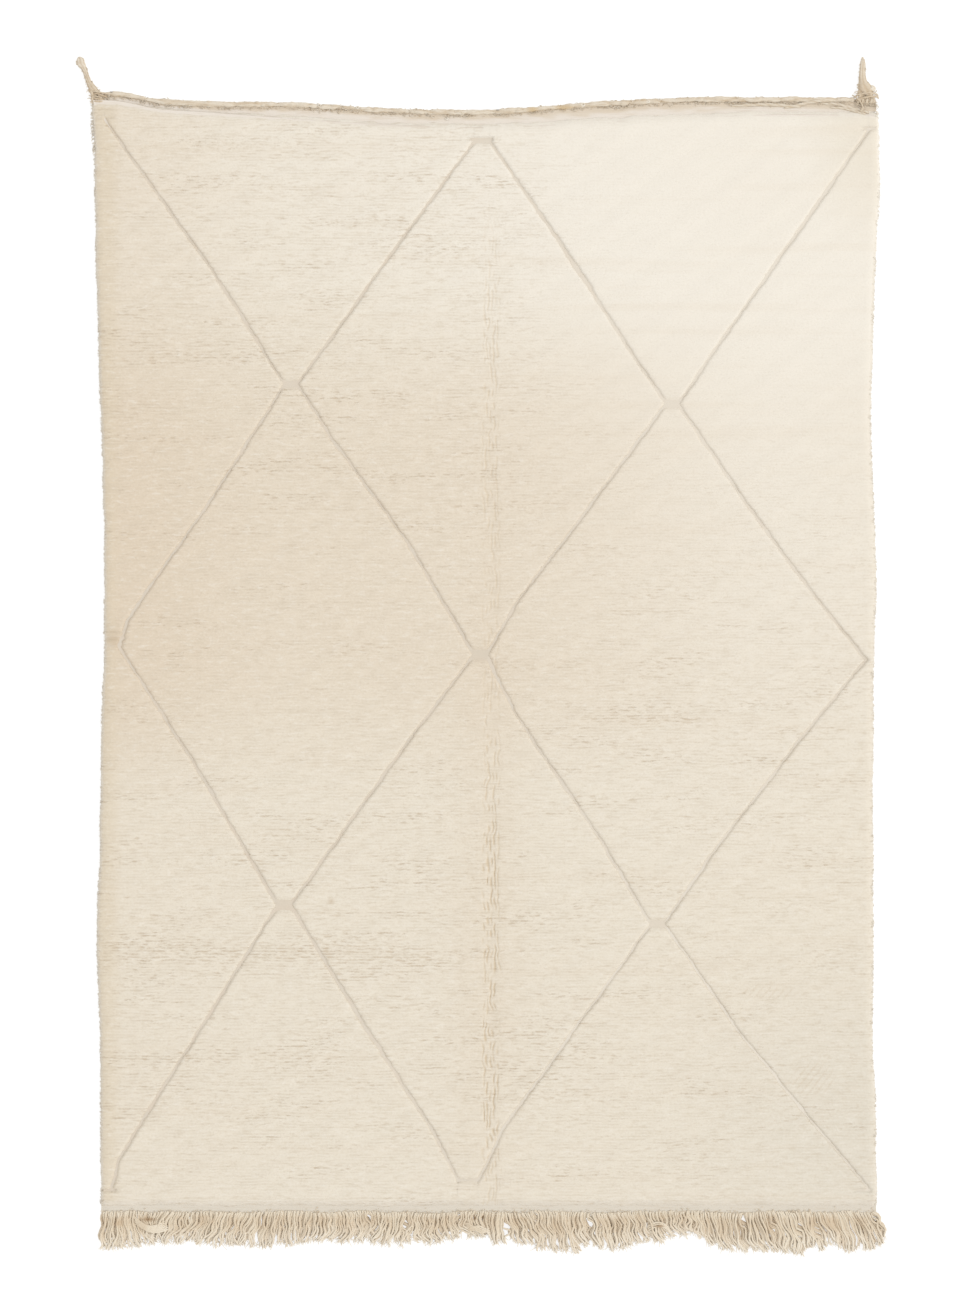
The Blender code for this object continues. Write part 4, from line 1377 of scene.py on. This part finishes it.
def strand_paths(rng, gather, sway, tip_back, base, aside_by):
    """Paths of one layer of warp ends, from on the cloth's edge to their tips.

    A strand leans towards its tip, with a sideways bow sin(pi t), a crimp sin(2 pi crimps t +
    start) and a pull to its clump that grows towards the tip. Neighbours bend alike. A few
    lean across the others and lie higher. The strands part at the openings.
    """
    left, right = ROOT_SPAN
    even = (np.arange(STRANDS) + 0.5) / STRANDS
    root = left + (right - left) * even + rng.uniform(-0.0025, 0.0025, STRANDS)
    table = np.array(FRINGE)
    cell = CLUMP * (np.floor(root / CLUMP + 0.8 * wander(root, 0.07, 501)) + 0.5)
    cell = cell - CLUMP * 0.8 * wander(root, 0.07, 501)
    lean = np.interp(root, table[:, 0], table[:, 1])
    tip_y = np.interp(root, table[:, 0], table[:, 2]) + tip_back
    astray = rng.uniform(0.0, 1.0, STRANDS) > 0.78
    lean = lean + astray * rng.uniform(-0.022, 0.022, STRANDS) + rng.normal(0.0, 0.0030, STRANDS)
    lean = np.clip(root + lean, cad_low.x + 0.050, cad_high.x + 0.004) - root
    off = np.abs(root - cell) / CLUMP
    tip_y = tip_y + 0.020 * off + rng.normal(0.0, 0.0035, STRANDS)
    bow = sway * wander(root, 0.050, 502) + rng.normal(0.0, 0.0014, STRANDS)
    crimp = CRIMP_REACH * (0.75 + 0.55 * wander(root, 0.045, 503)) + rng.normal(0.0, 0.0009, STRANDS)
    start = 5.0 * wander(root, 0.07, 504) + rng.normal(0.0, 0.50, STRANDS)
    t = np.linspace(0.0, 1.0, STATIONS)[None]
    x = root[:, None] + lean[:, None] * t**1.15
    x = x + bow[:, None] * np.sin(math.pi * t)
    x = x + crimp[:, None] * t**0.5 * np.sin(2 * math.pi * CRIMPS * t + start[:, None])
    x = x - gather * (root - cell)[:, None] * t**2.2
    for middle, share, half in OPENINGS:
        aside = x - middle
        near = np.exp(-((aside / 0.015) ** 2)) * np.exp(-(((t - share) / 0.17) ** 2))
        x = x + (half + aside_by) * np.sign(aside) * near
    uneven = 0.0055 + 0.0035 * wander(root, 0.05, 505) + rng.uniform(-0.002, 0.002, STRANDS)
    first = FOOT_Y + uneven[:, None]
    y = first + (tip_y[:, None] - first) * t
    y = y + 0.0025 * t * np.sin(9.0 * t + 8.0 * root[:, None])
    layer = np.arange(STRANDS) % 2 + 1.3 * astray + rng.uniform(0.0, 0.5, STRANDS)
    lift = smoothstep(0.0, 0.25, t)
    arch = np.sin(math.pi * np.clip(0.08 + 0.95 * t, 0, 1)) ** 0.7
    z = base * (0.76 + 0.24 * lift) + 0.0022 * layer[:, None] * arch * (0.3 + 0.7 * lift)
    return np.stack([x, y, z], -1), t


def make_strands(rng, paths, t, tone, fuller=1.0, sides=7):
    """Plied tubes on the paths, thinner towards the tips."""
    count, stations, _ = paths.shape
    thick = fuller * STRAND_RADIUS * rng.uniform(0.82, 1.15, count)[:, None]
    radius = thick * (1 - 0.35 * smoothstep(0.80, 1.0, t)) * (1 - 0.15 * smoothstep(0.12, 0.0, t))
    turns = t * rng.uniform(2.6, 3.6, count)[:, None] + rng.uniform(0, 1, count)[:, None]
    tones = np.clip(tone + 0.16 * rng.normal(0, 1, count), 0, 1)
    ply = 2 * math.pi * turns
    part = tubes(paths, radius, sides, flat=STRAND_FLATNESS, ply=ply, lobe=0.11)
    return toned(part, each_point(tones, stations, sides))


def root_fuzz(rng):
    """Fibres where the warp ends leave the cloth."""
    x = rng.uniform(*ROOT_SPAN, ROOT_FIBRES)
    y = FOOT_Y + 0.002 + 0.005 * rng.normal(0.0, 1.0, ROOT_FIBRES)
    z = rng.uniform(0.0055, 0.0085, ROOT_FIBRES)
    reach = 0.0090 * (0.7 + 0.6 * wander(x, 0.040, 509))
    return fuzz(rng, x, y, z, reach, (0.40, 1.0))


def make_loops(rng):
    """Warp ends that lie across the others.

    From start to end, lifted by bulge * sin(pi t) and waved along y, side by side.
    """
    parts = []
    t = np.linspace(0.0, 1.0, STATIONS)[None]
    for count, start, end, bulge, wave in LOOPS:
        number = np.arange(count)[:, None]
        x = start[0] + (end[0] - start[0]) * t + 0.0015 * number
        y = start[1] + (end[1] - start[1]) * t - 0.0042 * number
        y = y + bulge * (1 - 0.06 * number) * np.sin(math.pi * t) + wave * np.sin(13.0 * t + number)
        z = 0.0090 + 0.0045 * np.sin(math.pi * t) + 0.0003 * number
        radius = 0.0029 * (1 - 0.4 * np.abs(2 * t - 1) ** 5) * (1 + 0.0 * number)
        ply = 2 * math.pi * (3.0 * t + rng.uniform(0, 1, count)[:, None])
        path = np.stack([x, y, z], -1)
        part = tubes(path, radius, 8, flat=STRAND_FLATNESS, ply=ply, lobe=0.13)
        parts.append(toned(part, 0.95, along=(0.3, 0.5)))
    return merge(parts)


def make_tufts(rng, paths, tufts):
    """Finer tufts that fan out of each tip."""
    count = STRANDS * tufts
    ends = np.repeat(paths[:, -3], tufts, axis=0)
    heading = np.repeat(paths[:, -1] - paths[:, -4], tufts, axis=0)
    heading /= np.linalg.norm(heading, axis=1, keepdims=True)
    spread = np.tile(np.linspace(-0.50, 0.50, tufts), STRANDS) + rng.normal(0, 0.22, count)
    side = np.stack([-heading[:, 1], heading[:, 0], 0 * spread], -1)
    length = rng.uniform(0.010, 0.021, count)[:, None, None]
    u = np.linspace(0.0, 1.0, 4)[None, :, None]
    fan = u**1.4 * spread[:, None, None] * side[:, None]
    path = ends[:, None] + length * (u * heading[:, None] + fan)
    path[..., 2] = path[..., 2] * (1 - 0.5 * u[..., 0])
    radius = 0.0011 * (1 - 0.6 * u[..., 0]) * rng.uniform(0.7, 1.2, count)[:, None]
    return toned(tubes(path, radius, 4), 0.95, along=(0.65, 0.35), crest=(0.3, 0.0))


def make_fringe(material):
    """Three layers of plied warp ends, the loops across them and the frayed tips.

    The undermost layer has every other station, fewer sides and shorter ends, browner with painted
    shade.
    """
    rng = np.random.default_rng(5)
    upper, t = strand_paths(rng, *UPPER_LAYER)
    lower, _ = strand_paths(rng, *LOWER_LAYER)
    under, _ = strand_paths(rng, *UNDER_LAYER)
    # The lower and undermost layers take a lower tone: painted shade under the upper layer.
    under_ends = make_strands(rng, under[:, ::2], t[:, ::2], 0.50, 1.80, 5)
    return [
        add_yarns(name, parts, ENDS_LOWEST, material)
        for name, parts in (
            ("warp_fringe", [make_strands(rng, upper, t, 0.70), make_loops(rng)]),
            ("warp_fringe_lower", [make_strands(rng, lower, t, 0.50, 1.15)]),
            ("warp_fringe_under", [under_ends, root_fuzz(rng)]),
            ("frayed_tips", [make_tufts(rng, upper, 4), make_tufts(rng, lower, 3)]),
        )
    ]


# ---------------------------------------------------------------- camera, light and floor


def make_camera():
    """Straight above the rug, with the photograph's framing."""
    distance = 8.0
    shown_height = 3.390
    aside = 0.0142
    lens = bpy.data.cameras.new("camera")
    lens.lens = lens.sensor_width * distance / shown_height
    lens.clip_end = 100.0
    bpy.context.scene.camera = put("camera", lens, (aside, 0.0, distance + PILE_TOP))


def make_lights():
    """A broad key from the right and a little below, and an even fill from all round."""
    key = bpy.data.lights.new("key", "SUN")
    key.energy = 1.02
    key.angle = math.radians(40)
    key.color = (1.0, 0.99, 0.97)
    put("key", key, turn=(0.0, 50, -12))

    soft = bpy.data.lights.new("soft", "AREA")
    soft.energy = 11.0
    soft.size = 3.0
    put("soft", soft, (2.6, 2.2, 3.0), turn=(-38, 38, 0.0))

    world = bpy.data.worlds.new("studio")
    world.use_nodes = True
    background = world.node_tree.nodes["Background"]
    background.inputs["Color"].default_value = (1.0, 1.0, 1.0, 1.0)
    background.inputs["Strength"].default_value = 1.06
    bpy.context.scene.world = world
    bpy.context.scene.view_settings.view_transform = "Standard"


def make_floor(material):
    """A wide floor just under the rug."""
    half = 12.0
    mesh = bpy.data.meshes.new("floor")
    corners = [(-half, -half), (half, -half), (half, half), (-half, half)]
    mesh.from_pydata([(x, y, -0.0006) for x, y in corners], [], [(0, 1, 2, 3)])
    mesh.materials.append(material)
    floor = put("floor", mesh)


def main():
    """Makes the materials and the pieces, and hides the model's parts that they take the place of.
    """
    pile = pile_wool()
    ground = woven_ground()
    cord_wool = plied_wool(
        "cord_wool", CORD_TAN, CORD_PALE, CORD_BROWN, 0.30, 0.50, 0.0, CORD_MARKS
    )
    tie_wool = plied_wool("tie_wool", TIE_TAN, TIE_PALE, CORD_BROWN, 0.40, 0.20, 0.5)
    warp_wool = plied_wool(
        "warp_wool_ends", WARP_CREAM, WARP_TIP, WARP_BROWN, 0.22, 0.10, 1.0, WARP_MARKS
    )

    make_camera()
    cloth = make_ground(ground)
    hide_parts("rug_field")
    areas = make_pile(pile)
    locks = [
        make_rim_locks("left_rim_locks", 1, -1, pile),
        make_rim_locks("right_rim_locks", 2, 1, pile),
    ]
    cord = make_cord(cord_wool)
    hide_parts("top_cord")
    left_tie = make_tie("left_tie_yarns", LEFT_TIE, 5, 0.060, LEFT_LASHINGS, None, tie_wool)
    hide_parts("left_tie")
    right_tie = make_tie("right_tie_yarns", RIGHT_TIE, 8, 0.055, RIGHT_LASHINGS, LOBE, tie_wool)
    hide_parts("right_tie")
    fringe = make_fringe(warp_wool)
    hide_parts("fringe")
    make_floor(pale_floor())
    make_lights()


main()
